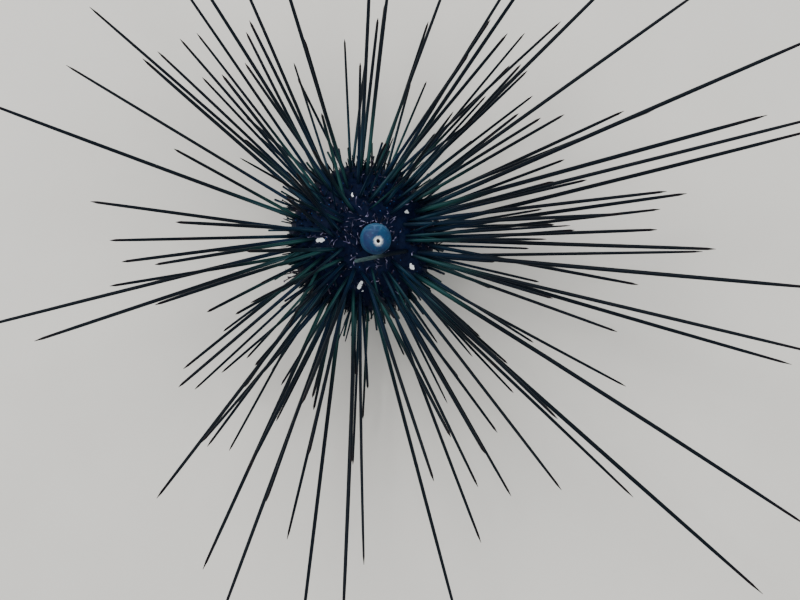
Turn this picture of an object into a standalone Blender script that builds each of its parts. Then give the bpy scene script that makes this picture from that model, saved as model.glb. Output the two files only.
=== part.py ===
"""Long-spined sea urchin at life size, resting on the tips of its lower spines.

The shell is turned, parted along its ten rows, and each row carries its own spines.
Sizes are in millimetres and are turned to metres as the meshes are made. +Z is up, z = 0 is the floor.
"""
import math
import random

import bmesh
import bpy
import numpy as np
from mathutils import Matrix, Vector

MM = 0.001
GAP = 0.3

# Shell: a flattened ball, its anal side up, leaning over to +X and a little to -Y
SHELL_RADIUS = 33.0
SHELL_RISE = 19.5
SHELL_DROP = 14.5
SHELL_SQUARENESS = 2.25
SHELL_CENTRE = Vector((-9.8, 20.8, 37.0))
LEAN_DEG = 15.5
LEAN_TOWARDS_DEG = -9.0
SHELL_STEPS_ROUND = 40
SHELL_STEPS_DOWN = 12
BORE_RADIUS = 4.0

# Rows of the shell: five broad ones between five narrow ones
ROW_COUNT = 5
BROAD_ROW_AZIMUTH = 38.8
BROAD_ROW_HALF_DEG = 23.0
NARROW_ROW_HALF_DEG = 36.0 - BROAD_ROW_HALF_DEG

# Plates and soft parts at the two poles
DISC_RADIUS = 11.0
DISC_DEPTH = 4.0
DISC_DOME = 0.8
SAC_RADIUS = 6.95
SAC_HEIGHT = 9.0
SAC_NECK = 0.72
PORE_RADIUS = 0.8
PORE_DEPTH = 1.6
MOUTH_RADIUS = 15.0
MOUTH_DEPTH = 3.5
MOUTH_SAG = 2.4
TOOTH_LENGTH = 5.0
TOOTH_RADIUS = 1.5
TOOTH_RING = 2.0

# The spines point away from a hub under the middle of the shell, and the pose is seen from an eye above
HUB_DEPTH = 10.0
EYE_OFFSET = Vector((19.6, -28.2))
EYE_HEIGHT = 700.0

# Spine thickness, spacing and roots
SPINE_SIDES = 4
THIN_ROOT_RADIUS = 0.58
ROOT_RADIUS_GAIN = 0.42
FULL_GROWN = 190.0
TIP_RADIUS = 0.5
SINK = 3.6
ROOT_SPACING = 2.9
ROW_EDGE_MARGIN = 2.1
STEEPEST_LEAN_DEG = 62.0
SPINE_CLEARANCE = 0.5
FLOOR_CLEARANCE = 2.5
TRIES = 90

# Bare skin round the upper disc, down the tops of the narrow rows and at five spots, as (azimuth, turn) in degrees
BARE_POLE_ROOM = 4.5
BARE_NARROW_RADIUS = 26.0
SPOTS = ((36.4, 35.2), (114.6, 37.3), (181.7, 41.7), (256.2, 37.1), (326.8, 41.3))
SPOT_ROOM = 3.4

# Longest spines, as (azimuth, reach from the hub seen from the eye)
LONG_SPINES = (
    (2, 138), (2, 100), (5, 140), (5, 123), (8, 153), (9, 144), (13, 215), (14, 109), (15, 225),
    (16, 197), (16, 94), (21, 102), (23, 149), (24, 235), (26, 136), (31, 111), (33, 101),
    (36, 200), (38, 94), (39, 104), (39, 70), (45, 180), (45, 110), (45, 76), (47, 137),
    (47, 110), (49, 106), (51, 122), (54, 117), (57, 150), (58, 99), (59, 142), (59, 118),
    (66, 79), (71, 150), (72, 105), (83, 140), (83, 109), (85, 102), (87, 145), (89, 81),
    (94, 92), (105, 95), (106, 138), (106, 60), (110, 86), (114, 145), (116, 112), (118, 108),
    (121, 150), (123, 96), (125, 158), (128, 120), (130, 98), (132, 123), (133, 76), (134, 103),
    (137, 126), (139, 163), (139, 69), (140, 129), (149, 156), (154, 94), (160, 188), (172, 124),
    (175, 84), (180, 114), (185, 65), (186, 109), (187, 94), (191, 116), (193, 186), (198, 156),
    (198, 98), (206, 77), (212, 66), (215, 75), (217, 100), (220, 107), (223, 102), (227, 75),
    (231, 75), (232, 151), (232, 118), (234, 118), (234, 76), (237, 73), (239, 114), (243, 76),
    (245, 168), (245, 118), (246, 70), (250, 188), (251, 128), (254, 76), (257, 142), (257, 102),
    (262, 186), (268, 176), (268, 104), (269, 104), (269, 63), (271, 150), (274, 69), (285, 188),
    (287, 69), (288, 117), (292, 151), (295, 101), (296, 127), (301, 138), (301, 115),
    (306, 110), (306, 79), (309, 149), (315, 101), (317, 174), (318, 88), (319, 248), (319, 124),
    (320, 110), (327, 246), (330, 94), (331, 141), (340, 127), (343, 94), (344, 208), (346, 218),
    (346, 86), (349, 83), (351, 131), (354, 214), (354, 134), (356, 79), (357, 159), (359, 165),
)
LONG_RISE_DEG = (3.0, 22.0)
LONG_JITTER_DEG = 0.4
LONG_LOOSENESS = 0.06
# What each failed try adds to the rise, the jitter and the looseness
RISE_STEP_DEG = 0.4
JITTER_STEP_DEG = 0.03
LOOSENESS_STEP = 0.006
# Below the full reach a spine stands steeper, in proportion and up to a limit
FULL_REACH = 190.0
STEEPEST_GAIN = 2.2
TALLEST_TIP = 150.0
# The roots climb the shell by up to this much of the spine's aim, so that the spines lean outwards
LONG_ROOT_CLIMB = 0.9

# Gaps in the round of shorter spines
OPEN_ARCS = ((61, 69), (75, 81), (95, 104), (163, 169), (200, 204), (273, 282), (321, 326))

# Tiers of shorter spines, in sheaves round the long ones: number, seen reach, distance from hub to tip
TIERS = (
    (6, (60.0, 90.0), (92.0, 150.0)),
    (20, (34.0, 52.0), (76.0, 126.0)),
    (10, (26.0, 38.0), (70.0, 108.0)),
)
# Least distance from the hub to a tip, as a share of its reach
LEAST_SLANT = 1.04
SHEAF_SPREAD_DEG = 2.6
TIER_LOOSENESS = 0.13

# Low spines reach out and down under the long ones, clear of the floor
LOW_COUNT = 24
LOW_FALL_DEG = (-2.0, -26.0)
LOW_REACH = (54.0, 98.0)
LOW_SPREAD_DEG = 0.8
LOW_LOOSENESS = 0.2
LOW_TIP_ROOM = (0.5, 9.0)

# Short spines fill the room between the others, square to the shell
SHORT_COUNT = 84
SHORT_LENGTH = (6.0, 13.0)
SHORT_POLAR_DEG = (30.0, 122.0)
SHORT_SCATTER = 0.18
SHORT_ROOT_RADIUS = 0.5

# One snapped spine leans in over the edge of the anal sac
STUMP_ROOT_POLAR_DEG = 26.0
STUMP_ROOT_AZIMUTH = 340.0
STUMP_TIP = (-1.8, -11.6, 53.0)
STUMP_RADII = (1.0, 0.85)

# Standing spines end in flats on the floor
STANDING_PER_BROAD_ROW = 3
STANDING_PER_NARROW_ROW = 2
STANDING_POLAR_DEG = (112.0, 128.0)
STANDING_SPLAY = 9.0
STANDING_SPREAD = 0.7
STANDING_JITTER_DEG = 2.0
STANDING_TIP_RADIUS = 0.62

TOWARDS = Matrix.Rotation(math.radians(LEAN_TOWARDS_DEG), 3, "Z")
LEAN = TOWARDS @ Matrix.Rotation(math.radians(LEAN_DEG), 3, "Y") @ TOWARDS.inverted()
UPRIGHT = LEAN.inverted()
HUB = SHELL_CENTRE + LEAN @ Vector((0.0, 0.0, -HUB_DEPTH))
EYE = Vector((HUB.x + EYE_OFFSET.x, HUB.y + EYE_OFFSET.y, EYE_HEIGHT))


def shell_profile(turn):
    """Radius and height of the shell at a turn from its upper pole, in radians."""
    power = 2.0 / SHELL_SQUARENESS
    radius = SHELL_RADIUS * math.sin(turn) ** power
    cosine = math.cos(turn)
    half = SHELL_RISE if cosine > 0 else SHELL_DROP
    return radius, math.copysign(half * abs(cosine) ** power, cosine)


def turn_at_radius(radius, below=False):
    """Turn from the upper pole at which the shell has a radius, above or below its waist."""
    turn = math.asin((radius / SHELL_RADIUS) ** (SHELL_SQUARENESS / 2.0))
    return math.pi - turn if below else turn


def shell_level(point):
    """Below one inside the shell, one on its surface, for a point in the shell's own axes."""
    half = SHELL_RISE if point.z > 0 else SHELL_DROP
    radius = math.hypot(point.x, point.y)
    return (radius / SHELL_RADIUS) ** SHELL_SQUARENESS + (abs(point.z) / half) ** SHELL_SQUARENESS


def shell_normal(point):
    """Outward normal at a point of the shell, in its own axes."""
    half = SHELL_RISE if point.z > 0 else SHELL_DROP
    power = SHELL_SQUARENESS - 1.0
    radius = max(math.hypot(point.x, point.y), 1e-6)
    flat = (radius / SHELL_RADIUS) ** power / SHELL_RADIUS
    rise = math.copysign((abs(point.z) / half) ** power / half, point.z)
    return Vector((flat * point.x / radius, flat * point.y / radius, rise)).normalized()


def pierce(start, direction):
    """Point where a ray from inside leaves the shell, in the shell's own axes."""
    near = 0.0
    far = 2.0 * SHELL_RADIUS
    for _ in range(36):
        middle = (near + far) / 2.0
        if shell_level(start + direction * middle) < 1.0:
            near = middle
        else:
            far = middle
    return start + direction * near


def row_of(azimuth_deg):
    """Row that holds an azimuth: its kind, number, middle azimuth and half width in degrees."""
    step = 360.0 / ROW_COUNT
    number = round((azimuth_deg - BROAD_ROW_AZIMUTH) / step)
    middle = BROAD_ROW_AZIMUTH + number * step
    if abs(azimuth_deg - middle) <= BROAD_ROW_HALF_DEG:
        return "broad", number % ROW_COUNT, middle, BROAD_ROW_HALF_DEG
    number = math.floor((azimuth_deg - BROAD_ROW_AZIMUTH) / step)
    middle = BROAD_ROW_AZIMUTH + (number + 0.5) * step
    return "narrow", number % ROW_COUNT, middle, NARROW_ROW_HALF_DEG


def settle_root(point, depth):
    """Root slid along the surface until it is clear of its row's edges, or None in a tight corner."""
    radius = math.hypot(point.x, point.y)
    azimuth = math.degrees(math.atan2(point.y, point.x))
    kind, number, middle, half = row_of(azimuth)
    room = half - math.degrees(depth / radius)
    if room <= 0.0:
        return None
    azimuth = middle + max(-room, min(room, azimuth - middle))
    turned = Vector((radius * math.cos(math.radians(azimuth)), radius * math.sin(math.radians(azimuth)), point.z))
    return turned, (kind, number), middle, half


def in_pole_seat(point, room):
    """Whether a point in the shell's own axes comes within a room of the upper disc or the mouth disc."""
    radius = math.hypot(point.x, point.y)
    if point.z > 0.0:
        seat = shell_profile(turn_at_radius(DISC_RADIUS))[1] - DISC_DEPTH
        return radius < DISC_RADIUS + room and point.z > seat - room
    lip = shell_profile(turn_at_radius(MOUTH_RADIUS, below=True))[1] + MOUTH_DEPTH
    return radius < MOUTH_RADIUS + room and point.z < lip + room


def edge_room(point, middle, half):
    """Distance from a point to the nearer cut beside its row, positive inside the row."""
    room = []
    for side in (-1.0, 1.0):
        edge = math.radians(middle + side * half)
        room.append(side * (point.x * math.sin(edge) - point.y * math.cos(edge)))
    return min(room)


def spacing_between(start, end, others):
    """Nearest approach of a spine to each other spine, less the two radii there."""
    first, last, root_radii, tip_radii = others["start"], others["end"], others["root"], others["tip"]
    along = end[0] - start[0]
    across = last - first
    between = start[0] - first
    own_square = float(along @ along)
    other_square = np.einsum("ij,ij->i", across, across)
    mixed = across @ along
    own_lead = between @ along
    other_lead = np.einsum("ij,ij->i", across, between)
    spread = np.maximum(own_square * other_square - mixed ** 2, 1e-9)
    own = np.clip((mixed * other_lead - own_lead * other_square) / spread, 0.0, 1.0)
    other = np.clip((mixed * own + other_lead) / other_square, 0.0, 1.0)
    own = np.clip((mixed * other - own_lead) / own_square, 0.0, 1.0)
    apart = start[0] + own[:, None] * along - first - other[:, None] * across
    own_radius = start[1] + (end[1] - start[1]) * own
    other_radius = root_radii + (tip_radii - root_radii) * other
    return np.linalg.norm(apart, axis=1) - own_radius - other_radius


def seen(point):
    """Where the eye sees a point, on the level of the hub."""
    near = (EYE.z - HUB.z) / (EYE.z - point.z)
    return Vector((EYE.x + (point.x - EYE.x) * near, EYE.y + (point.y - EYE.y) * near))


def spot_seen(azimuth_deg, turn_deg):
    """Where the eye sees a spot of the shell."""
    radius, height = shell_profile(math.radians(turn_deg))
    azimuth = math.radians(azimuth_deg)
    return seen(SHELL_CENTRE + LEAN @ Vector((radius * math.cos(azimuth), radius * math.sin(azimuth), height)))


class Coat:
    """The spines placed so far, in world axes, with the room that they leave for the next one."""

    def __init__(self):
        self.spines = []
        self.spots = [spot_seen(*spot) for spot in SPOTS]

    def others(self):
        """Ends and radii of the placed spines as arrays."""
        return {
            "start": np.array([spine["root"][:] for spine in self.spines]),
            "end": np.array([spine["tip"][:] for spine in self.spines]),
            "root": np.array([spine["root_radius"] for spine in self.spines]),
            "tip": np.array([spine["tip_radius"] for spine in self.spines]),
        }

    def hides_spot(self, root, tip):
        """Whether a spine would stand between the eye and one of the spots."""
        start = seen(root)
        along = seen(tip) - start
        for spot in self.spots:
            share = max(0.0, min(1.0, (spot - start).dot(along) / along.length_squared))
            if (start + along * share - spot).length < SPOT_ROOM:
                return True
        return False

    def place(self, tip, root, standing=False, radii=None):
        """Keep a spine from this root, in the shell's axes, to this tip if it is clear of the others."""
        if in_pole_seat(root, BARE_POLE_ROOM):
            return False
        settled = settle_root(root, ROW_EDGE_MARGIN)
        if settled is None:
            return False
        root, row, middle, half = settled
        if row[0] == "narrow" and root.z > 0.0 and math.hypot(root.x, root.y) < BARE_NARROW_RADIUS:
            return False
        world_root = SHELL_CENTRE + LEAN @ root
        if self.hides_spot(world_root, tip):
            return False
        direction = (tip - world_root).normalized()
        local_direction = UPRIGHT @ direction
        uprightness = local_direction.dot(shell_normal(root))
        if uprightness < math.cos(math.radians(STEEPEST_LEAN_DEG)):
            return False
        length = (tip - world_root).length
        root_radius = THIN_ROOT_RADIUS + ROOT_RADIUS_GAIN * min(length / FULL_GROWN, 1.0)
        tip_radius = STANDING_TIP_RADIUS if standing else TIP_RADIUS
        if radii:
            root_radius, tip_radius = radii
        sunk = root - local_direction * SINK
        if edge_room(sunk, middle, half) < root_radius + GAP or in_pole_seat(sunk, root_radius + GAP):
            return False
        if edge_room(root, middle, half) < root_radius / uprightness + GAP:
            return False
        if not standing and tip.z < FLOOR_CLEARANCE:
            return False
        if self.spines:
            others = self.others()
            start = np.array(world_root[:])
            nearest_root = np.linalg.norm(others["start"] - start, axis=1).min()
            if nearest_root < ROOT_SPACING:
                return False
            ends = (start, root_radius), (np.array(tip[:]), tip_radius)
            if spacing_between(*ends, others).min() < SPINE_CLEARANCE:
                return False
        self.spines.append({
            "row": row,
            "root": world_root,
            "tip": tip,
            "direction": direction,
            "length": length,
            "root_radius": root_radius,
            "tip_radius": tip_radius,
            "standing": standing,
        })
        return True


def root_under(tip, chance, looseness, climb=0.0):
    """Root where the line from the hub to a tip leaves the shell, or up to a climb above it, with some scatter."""
    aim = (tip - HUB).normalized()
    aim.z += chance.uniform(0.0, climb)
    aim = (UPRIGHT @ aim).normalized()
    scatter = Vector([chance.uniform(-looseness, looseness) for _ in range(3)])
    return pierce(Vector((0.0, 0.0, -HUB_DEPTH)), (aim + scatter).normalized())


def tip_seen_at(azimuth_deg, reach, height):
    """Tip at a height that the eye sees at an azimuth and reach about the hub."""
    azimuth = math.radians(azimuth_deg)
    seen = Vector((HUB.x + reach * math.cos(azimuth), HUB.y + reach * math.sin(azimuth)))
    near = (EYE.z - height) / (EYE.z - HUB.z)
    return Vector((EYE.x + (seen.x - EYE.x) * near, EYE.y + (seen.y - EYE.y) * near, height))


def in_open_arc(azimuth_deg):
    """Whether an azimuth lies in a gap between the sheaves."""
    return any(low <= azimuth_deg % 360.0 <= high for low, high in OPEN_ARCS)


def stand_spines(coat, chance):
    """Short lower spines whose flat tips carry the animal."""
    step = 360.0 / ROW_COUNT
    rows = []
    for number in range(ROW_COUNT):
        rows.append((BROAD_ROW_AZIMUTH + number * step, BROAD_ROW_HALF_DEG, STANDING_PER_BROAD_ROW))
        rows.append((BROAD_ROW_AZIMUTH + (number + 0.5) * step, NARROW_ROW_HALF_DEG, STANDING_PER_NARROW_ROW))
    for middle, half, count in rows:
        for place in range(count):
            spread = (place + 0.5) / count * 2.0 - 1.0
            for _ in range(TRIES):
                jitter = chance.uniform(-STANDING_JITTER_DEG, STANDING_JITTER_DEG)
                azimuth = math.radians(middle + spread * half * STANDING_SPREAD + jitter)
                radius, height = shell_profile(math.radians(chance.uniform(*STANDING_POLAR_DEG)))
                root = Vector((radius * math.cos(azimuth), radius * math.sin(azimuth), height))
                world_root = SHELL_CENTRE + LEAN @ root
                outward = Vector((world_root.x - HUB.x, world_root.y - HUB.y, 0.0)).normalized()
                splay = outward * STANDING_SPLAY * chance.uniform(0.5, 1.5)
                tip = Vector((world_root.x + splay.x, world_root.y + splay.y, 0.0))
                if coat.place(tip, root, standing=True):
                    break


def long_spines(coat, chance):
    """The spines that stand out past the others, each near its own azimuth and reach."""
    for azimuth, reach in LONG_SPINES:
        for attempt in range(TRIES):
            steepness = max(1.0, min(FULL_REACH / reach, STEEPEST_GAIN))
            rise = math.radians(chance.uniform(*LONG_RISE_DEG) * steepness + attempt * RISE_STEP_DEG)
            sideways = azimuth + chance.uniform(-1.0, 1.0) * (LONG_JITTER_DEG + attempt * JITTER_STEP_DEG)
            tip = tip_seen_at(sideways, reach, min(HUB.z + reach * math.tan(rise), TALLEST_TIP))
            root = root_under(tip, chance, LONG_LOOSENESS + attempt * LOOSENESS_STEP, LONG_ROOT_CLIMB)
            if coat.place(tip, root):
                break


def tier_spines(coat, chance):
    """The shorter spines in their tiers, which stand steeper the shorter they look from above."""
    for count, reaches, lengths in TIERS:
        for number in range(count):
            leader = LONG_SPINES[number * len(LONG_SPINES) // count][0]
            for _ in range(TRIES):
                azimuth = leader + chance.gauss(0.0, SHEAF_SPREAD_DEG)
                if in_open_arc(azimuth):
                    continue
                reach = chance.uniform(*reaches)
                length = max(chance.uniform(*lengths), reach * LEAST_SLANT)
                tip = tip_seen_at(azimuth, reach, HUB.z + math.sqrt(length ** 2 - reach ** 2))
                if coat.place(tip, root_under(tip, chance, TIER_LOOSENESS)):
                    break


def low_spines(coat, chance):
    """The spines under the waist, which reach out over the floor, each below a long one."""
    for number in range(LOW_COUNT):
        leader = LONG_SPINES[number * len(LONG_SPINES) // LOW_COUNT][0]
        for _ in range(TRIES):
            azimuth = leader + chance.gauss(0.0, LOW_SPREAD_DEG)
            reach = chance.uniform(*LOW_REACH)
            fall = math.radians(chance.uniform(*LOW_FALL_DEG))
            height = max(HUB.z + reach * math.tan(fall), FLOOR_CLEARANCE + chance.uniform(*LOW_TIP_ROOM))
            tip = tip_seen_at(azimuth, reach, height)
            if coat.place(tip, root_under(tip, chance, LOW_LOOSENESS)):
                break


def short_spines(coat, chance):
    """Short spines wherever the shell still has room for one."""
    for _ in range(SHORT_COUNT):
        for _ in range(TRIES):
            azimuth = chance.uniform(0.0, math.tau)
            radius, height = shell_profile(math.radians(chance.uniform(*SHORT_POLAR_DEG)))
            root = Vector((radius * math.cos(azimuth), radius * math.sin(azimuth), height))
            scatter = Vector([chance.uniform(-SHORT_SCATTER, SHORT_SCATTER) for _ in range(3)])
            direction = (shell_normal(root) + scatter).normalized()
            tip = SHELL_CENTRE + LEAN @ (root + direction * chance.uniform(*SHORT_LENGTH))
            if coat.place(tip, root, radii=(SHORT_ROOT_RADIUS, TIP_RADIUS)):
                break


def snapped_spine(coat):
    """The stump of a snapped spine beside the anal sac."""
    radius, height = shell_profile(math.radians(STUMP_ROOT_POLAR_DEG))
    azimuth = math.radians(STUMP_ROOT_AZIMUTH)
    root = Vector((radius * math.cos(azimuth), radius * math.sin(azimuth), height))
    if not coat.place(SHELL_CENTRE + Vector(STUMP_TIP), root, radii=STUMP_RADII):
        raise ValueError("the snapped spine has no room")


def grow_coat():
    """All spines, the snapped and the standing ones first."""
    coat = Coat()
    snapped_spine(coat)
    stand_spines(coat, random.Random(5))
    long_spines(coat, random.Random(11))
    tier_spines(coat, random.Random(23))
    low_spines(coat, random.Random(37))
    short_spines(coat, random.Random(41))
    return coat


def make_material(name, colour, roughness):
    """A plain finish in a linear colour."""
    material = bpy.data.materials.new(name)
    material.use_nodes = True
    shader = material.node_tree.nodes["Principled BSDF"]
    shader.inputs["Base Color"].default_value = (*colour, 1.0)
    shader.inputs["Roughness"].default_value = roughness
    return material


def put_in_world(bm, name, material, collection):
    """Object made from a mesh in the shell's own axes: leaned over, scaled to metres, at the shell's centre."""
    bmesh.ops.transform(bm, matrix=LEAN.to_4x4() @ Matrix.Scale(MM, 4), verts=bm.verts)
    bmesh.ops.recalc_face_normals(bm, faces=bm.faces)
    mesh = bpy.data.meshes.new(name)
    bm.to_mesh(mesh)
    bm.free()
    mesh.materials.append(material)
    part = bpy.data.objects.new(name, mesh)
    part.location = SHELL_CENTRE * MM
    collection.objects.link(part)
    return part


def turned(profile, steps):
    """Closed turned solid from a profile of (radius, height) pairs in millimetres."""
    bm = bmesh.new()
    corners = [bm.verts.new((radius, 0.0, height)) for radius, height in profile]
    on_axis = profile[0][0] == 0.0
    pairs = list(zip(corners, corners[1:]))
    if not on_axis:
        pairs.append((corners[-1], corners[0]))
    edges = [bm.edges.new(pair) for pair in pairs]
    bmesh.ops.spin(bm, geom=corners + edges, cent=(0, 0, 0), axis=(0, 0, 1), dvec=(0, 0, 0),
                   angle=math.tau, steps=steps, use_merge=True, use_duplicate=False)
    bmesh.ops.remove_doubles(bm, verts=bm.verts, dist=1e-4)
    bmesh.ops.recalc_face_normals(bm, faces=bm.faces)
    return bm


def cut_away(bm, point, normal):
    """Cut a closed mesh with a plane, drop the side that the normal points to and close the cut."""
    geometry = bm.verts[:] + bm.edges[:] + bm.faces[:]
    cut = bmesh.ops.bisect_plane(bm, geom=geometry, plane_co=point, plane_no=normal, clear_outer=True)
    rim = [item for item in cut["geom_cut"] if isinstance(item, bmesh.types.BMEdge)]
    bmesh.ops.holes_fill(bm, edges=rim, sides=0)


def shell_row(middle_deg, half_deg):
    """One row of the shell, a wedge between two cuts, with seats at the poles for the disc and the mouth."""
    top = turn_at_radius(DISC_RADIUS)
    bottom = turn_at_radius(MOUTH_RADIUS, below=True)
    outer = []
    for step in range(SHELL_STEPS_DOWN + 1):
        outer.append(shell_profile(top + (bottom - top) * step / SHELL_STEPS_DOWN))
    seat = outer[0][1] - DISC_DEPTH
    lip = outer[-1][1] + MOUTH_DEPTH
    inner = [(MOUTH_RADIUS, lip), (BORE_RADIUS, lip), (BORE_RADIUS, seat), (DISC_RADIUS, seat)]
    bm = turned(outer + inner, SHELL_STEPS_ROUND)
    for side in (-1.0, 1.0):
        edge = math.radians(middle_deg + side * half_deg)
        normal = Vector((-math.sin(edge), math.cos(edge), 0.0)) * side
        cut_away(bm, -normal * GAP / 2.0, normal)
    return bm


def spine_mesh(spine):
    """One tapered spine in world millimetres, its root sunk in the shell; a standing one is cut at the floor."""
    bm = bmesh.new()
    start = spine["root"] - spine["direction"] * SINK
    extra = 2.0 if spine["standing"] else 0.0
    depth = spine["length"] + SINK + extra
    bmesh.ops.create_cone(bm, cap_ends=True, segments=SPINE_SIDES, radius1=spine["root_radius"],
                          radius2=spine["tip_radius"], depth=depth)
    facing = spine["direction"].to_track_quat("Z", "Y").to_matrix().to_4x4()
    middle = start + spine["direction"] * depth / 2.0
    bmesh.ops.transform(bm, matrix=Matrix.Translation(middle) @ facing, verts=bm.verts)
    if spine["standing"]:
        cut_away(bm, Vector((0.0, 0.0, 0.0)), Vector((0.0, 0.0, -1.0)))
    return bm


def largest_surface(mesh):
    """Keep only the largest closed surface of a mesh."""
    bm = bmesh.new()
    bm.from_mesh(mesh)
    bmesh.ops.triangulate(bm, faces=bm.faces)
    unseen = set(bm.faces)
    islands = []
    while unseen:
        island = set()
        front = [unseen.pop()]
        while front:
            face = front.pop()
            island.add(face)
            for edge in face.edges:
                for linked in edge.link_faces:
                    if linked in unseen:
                        unseen.remove(linked)
                        front.append(linked)
        islands.append(island)
    islands.sort(key=len)
    for island in islands[:-1]:
        bmesh.ops.delete(bm, geom=list(island), context="FACES")
    bm.to_mesh(mesh)
    bm.free()


def fuse(part, pieces):
    """Fuse closed meshes, given in world millimetres, into a part with one union."""
    bench = bpy.data.collections.new("pieces_to_fuse")
    bpy.context.scene.collection.children.link(bench)
    for bm in pieces:
        bmesh.ops.transform(bm, matrix=Matrix.Scale(MM, 4), verts=bm.verts)
        bmesh.ops.recalc_face_normals(bm, faces=bm.faces)
        mesh = bpy.data.meshes.new("piece")
        bm.to_mesh(mesh)
        bm.free()
        bench.objects.link(bpy.data.objects.new("piece", mesh))
    union = part.modifiers.new("union", "BOOLEAN")
    union.operation = "UNION"
    union.operand_type = "COLLECTION"
    union.collection = bench
    union.solver = "EXACT"
    bpy.context.view_layer.update()
    graph = bpy.context.evaluated_depsgraph_get()
    fused = bpy.data.meshes.new_from_object(part.evaluated_get(graph))
    part.modifiers.remove(union)
    part.data = fused
    largest_surface(fused)
    for piece in list(bench.objects):
        bpy.data.objects.remove(piece)
    bpy.data.collections.remove(bench)


def build_rows(collection, coat):
    """The ten rows of the shell, each with its own spines."""
    step = 360.0 / ROW_COUNT
    kinds = (
        ("broad", "interambulacrum", 0.0, BROAD_ROW_HALF_DEG, (0.012, 0.009, 0.016)),
        ("narrow", "ambulacrum", 0.5, NARROW_ROW_HALF_DEG, (0.009, 0.012, 0.018)),
    )
    for kind, name, shift, half, colour in kinds:
        for number in range(ROW_COUNT):
            label = f"{name}_{number + 1}"
            row = shell_row(BROAD_ROW_AZIMUTH + (number + shift) * step, half)
            part = put_in_world(row, label, make_material(label + "_skin", colour, 0.4), collection)
            spines = [spine_mesh(spine) for spine in coat.spines if spine["row"] == (kind, number)]
            fuse(part, spines)
            part.data.shade_smooth()
            part.data.set_sharp_from_angle(angle=math.radians(35.0))


def disc_top():
    """Height of the shell's surface at the rim of the upper disc."""
    return shell_profile(turn_at_radius(DISC_RADIUS))[1]


def build_disc(collection):
    """The plate in the upper pole that carries the anal sac."""
    rim = DISC_RADIUS - GAP
    top = disc_top()
    base = top - DISC_DEPTH + GAP
    crown = [(0.0, top + DISC_DOME), (rim * 0.5, top + DISC_DOME * 0.8), (rim * 0.85, top + DISC_DOME * 0.4)]
    profile = crown + [(rim, top), (rim, base), (0.0, base)]
    disc = turned(profile, SHELL_STEPS_ROUND)
    part = put_in_world(disc, "apical_disc", make_material("apical_plate", (0.02, 0.018, 0.03), 0.5), collection)
    part.data.shade_smooth()
    part.data.set_sharp_from_angle(angle=math.radians(35.0))


def build_sac(collection):
    """The bulging anal sac with the pore in its top."""
    base = disc_top() + DISC_DOME + GAP
    profile = [(0.0, base + SAC_HEIGHT - PORE_DEPTH), (PORE_RADIUS * 0.7, base + SAC_HEIGHT - PORE_DEPTH)]
    first = math.asin(PORE_RADIUS * 1.3 / SAC_RADIUS)
    for step in range(9):
        turn = first + (math.radians(132.0) - first) * step / 8.0
        profile.append((SAC_RADIUS * math.sin(turn), base + SAC_HEIGHT * (0.45 + 0.55 * math.cos(turn))))
    profile.append((SAC_RADIUS * SAC_NECK, base))
    profile.append((0.0, base))
    sac = turned(profile, 28)
    part = put_in_world(sac, "anal_sac", make_material("anal_sac_skin", (0.03, 0.05, 0.09), 0.25), collection)
    part.data.shade_smooth()
    part.data.set_sharp_from_angle(angle=math.radians(50.0))


def build_mouth(collection):
    """The soft disc round the mouth, with the tips of five teeth."""
    rim = MOUTH_RADIUS - GAP
    low = shell_profile(turn_at_radius(MOUTH_RADIUS, below=True))[1]
    top = low + MOUTH_DEPTH - GAP
    swell = [(rim, low), (rim * 0.8, low - MOUTH_SAG * 0.6), (rim * 0.5, low - MOUTH_SAG)]
    profile = [(0.0, top), (rim, top)] + swell + [(0.0, low - MOUTH_SAG * 0.9)]
    disc = turned(profile, SHELL_STEPS_ROUND)
    part = put_in_world(disc, "peristome", make_material("mouth_skin", (0.03, 0.02, 0.03), 0.45), collection)
    teeth = []
    for number in range(ROW_COUNT):
        azimuth = math.radians(BROAD_ROW_AZIMUTH + number * 360.0 / ROW_COUNT)
        tooth = bmesh.new()
        bmesh.ops.create_cone(tooth, cap_ends=True, segments=5, radius1=TOOTH_RADIUS * 0.35,
                              radius2=TOOTH_RADIUS, depth=TOOTH_LENGTH)
        inward = Matrix.Rotation(math.radians(-16.0), 4, "Y")
        place = Matrix.Translation((TOOTH_RING, 0.0, low - MOUTH_SAG))
        turn = Matrix.Rotation(azimuth, 4, "Z")
        set_over = Matrix.Translation(SHELL_CENTRE) @ LEAN.to_4x4()
        bmesh.ops.transform(tooth, matrix=set_over @ turn @ place @ inward, verts=tooth.verts)
        teeth.append(tooth)
    fuse(part, teeth)
    part.data.shade_smooth()
    part.data.set_sharp_from_angle(angle=math.radians(35.0))


def main():
    """Clear the scene and build the animal."""
    for leftover in list(bpy.data.objects):
        bpy.data.objects.remove(leftover)
    collection = bpy.data.collections.new("long_spined_sea_urchin")
    bpy.context.scene.collection.children.link(collection)
    coat = grow_coat()
    build_rows(collection, coat)
    build_disc(collection)
    build_sac(collection)
    build_mouth(collection)


main()
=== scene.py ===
"""Long-spined sea urchin, a still model at life size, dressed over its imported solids.

Lengths are millimetres unless a name says otherwise, and each mesh is turned to metres as it becomes a piece.
+Z is up and z = 0 is the floor. The shell is worked in its own axes, with its upper pole along +Z, and then
leaned over and set at its centre.
"""
import logging
import random
from dataclasses import dataclass, field
from enum import Enum
from functools import cached_property
from itertools import product
from math import asin, atan2, copysign, cos, degrees, floor, hypot, pi, radians, sin, sqrt, tan, tau
from typing import Any, Callable, Optional, Sequence

import bmesh
import bpy
import numpy as np
from mathutils import Matrix, Vector, noise


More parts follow.
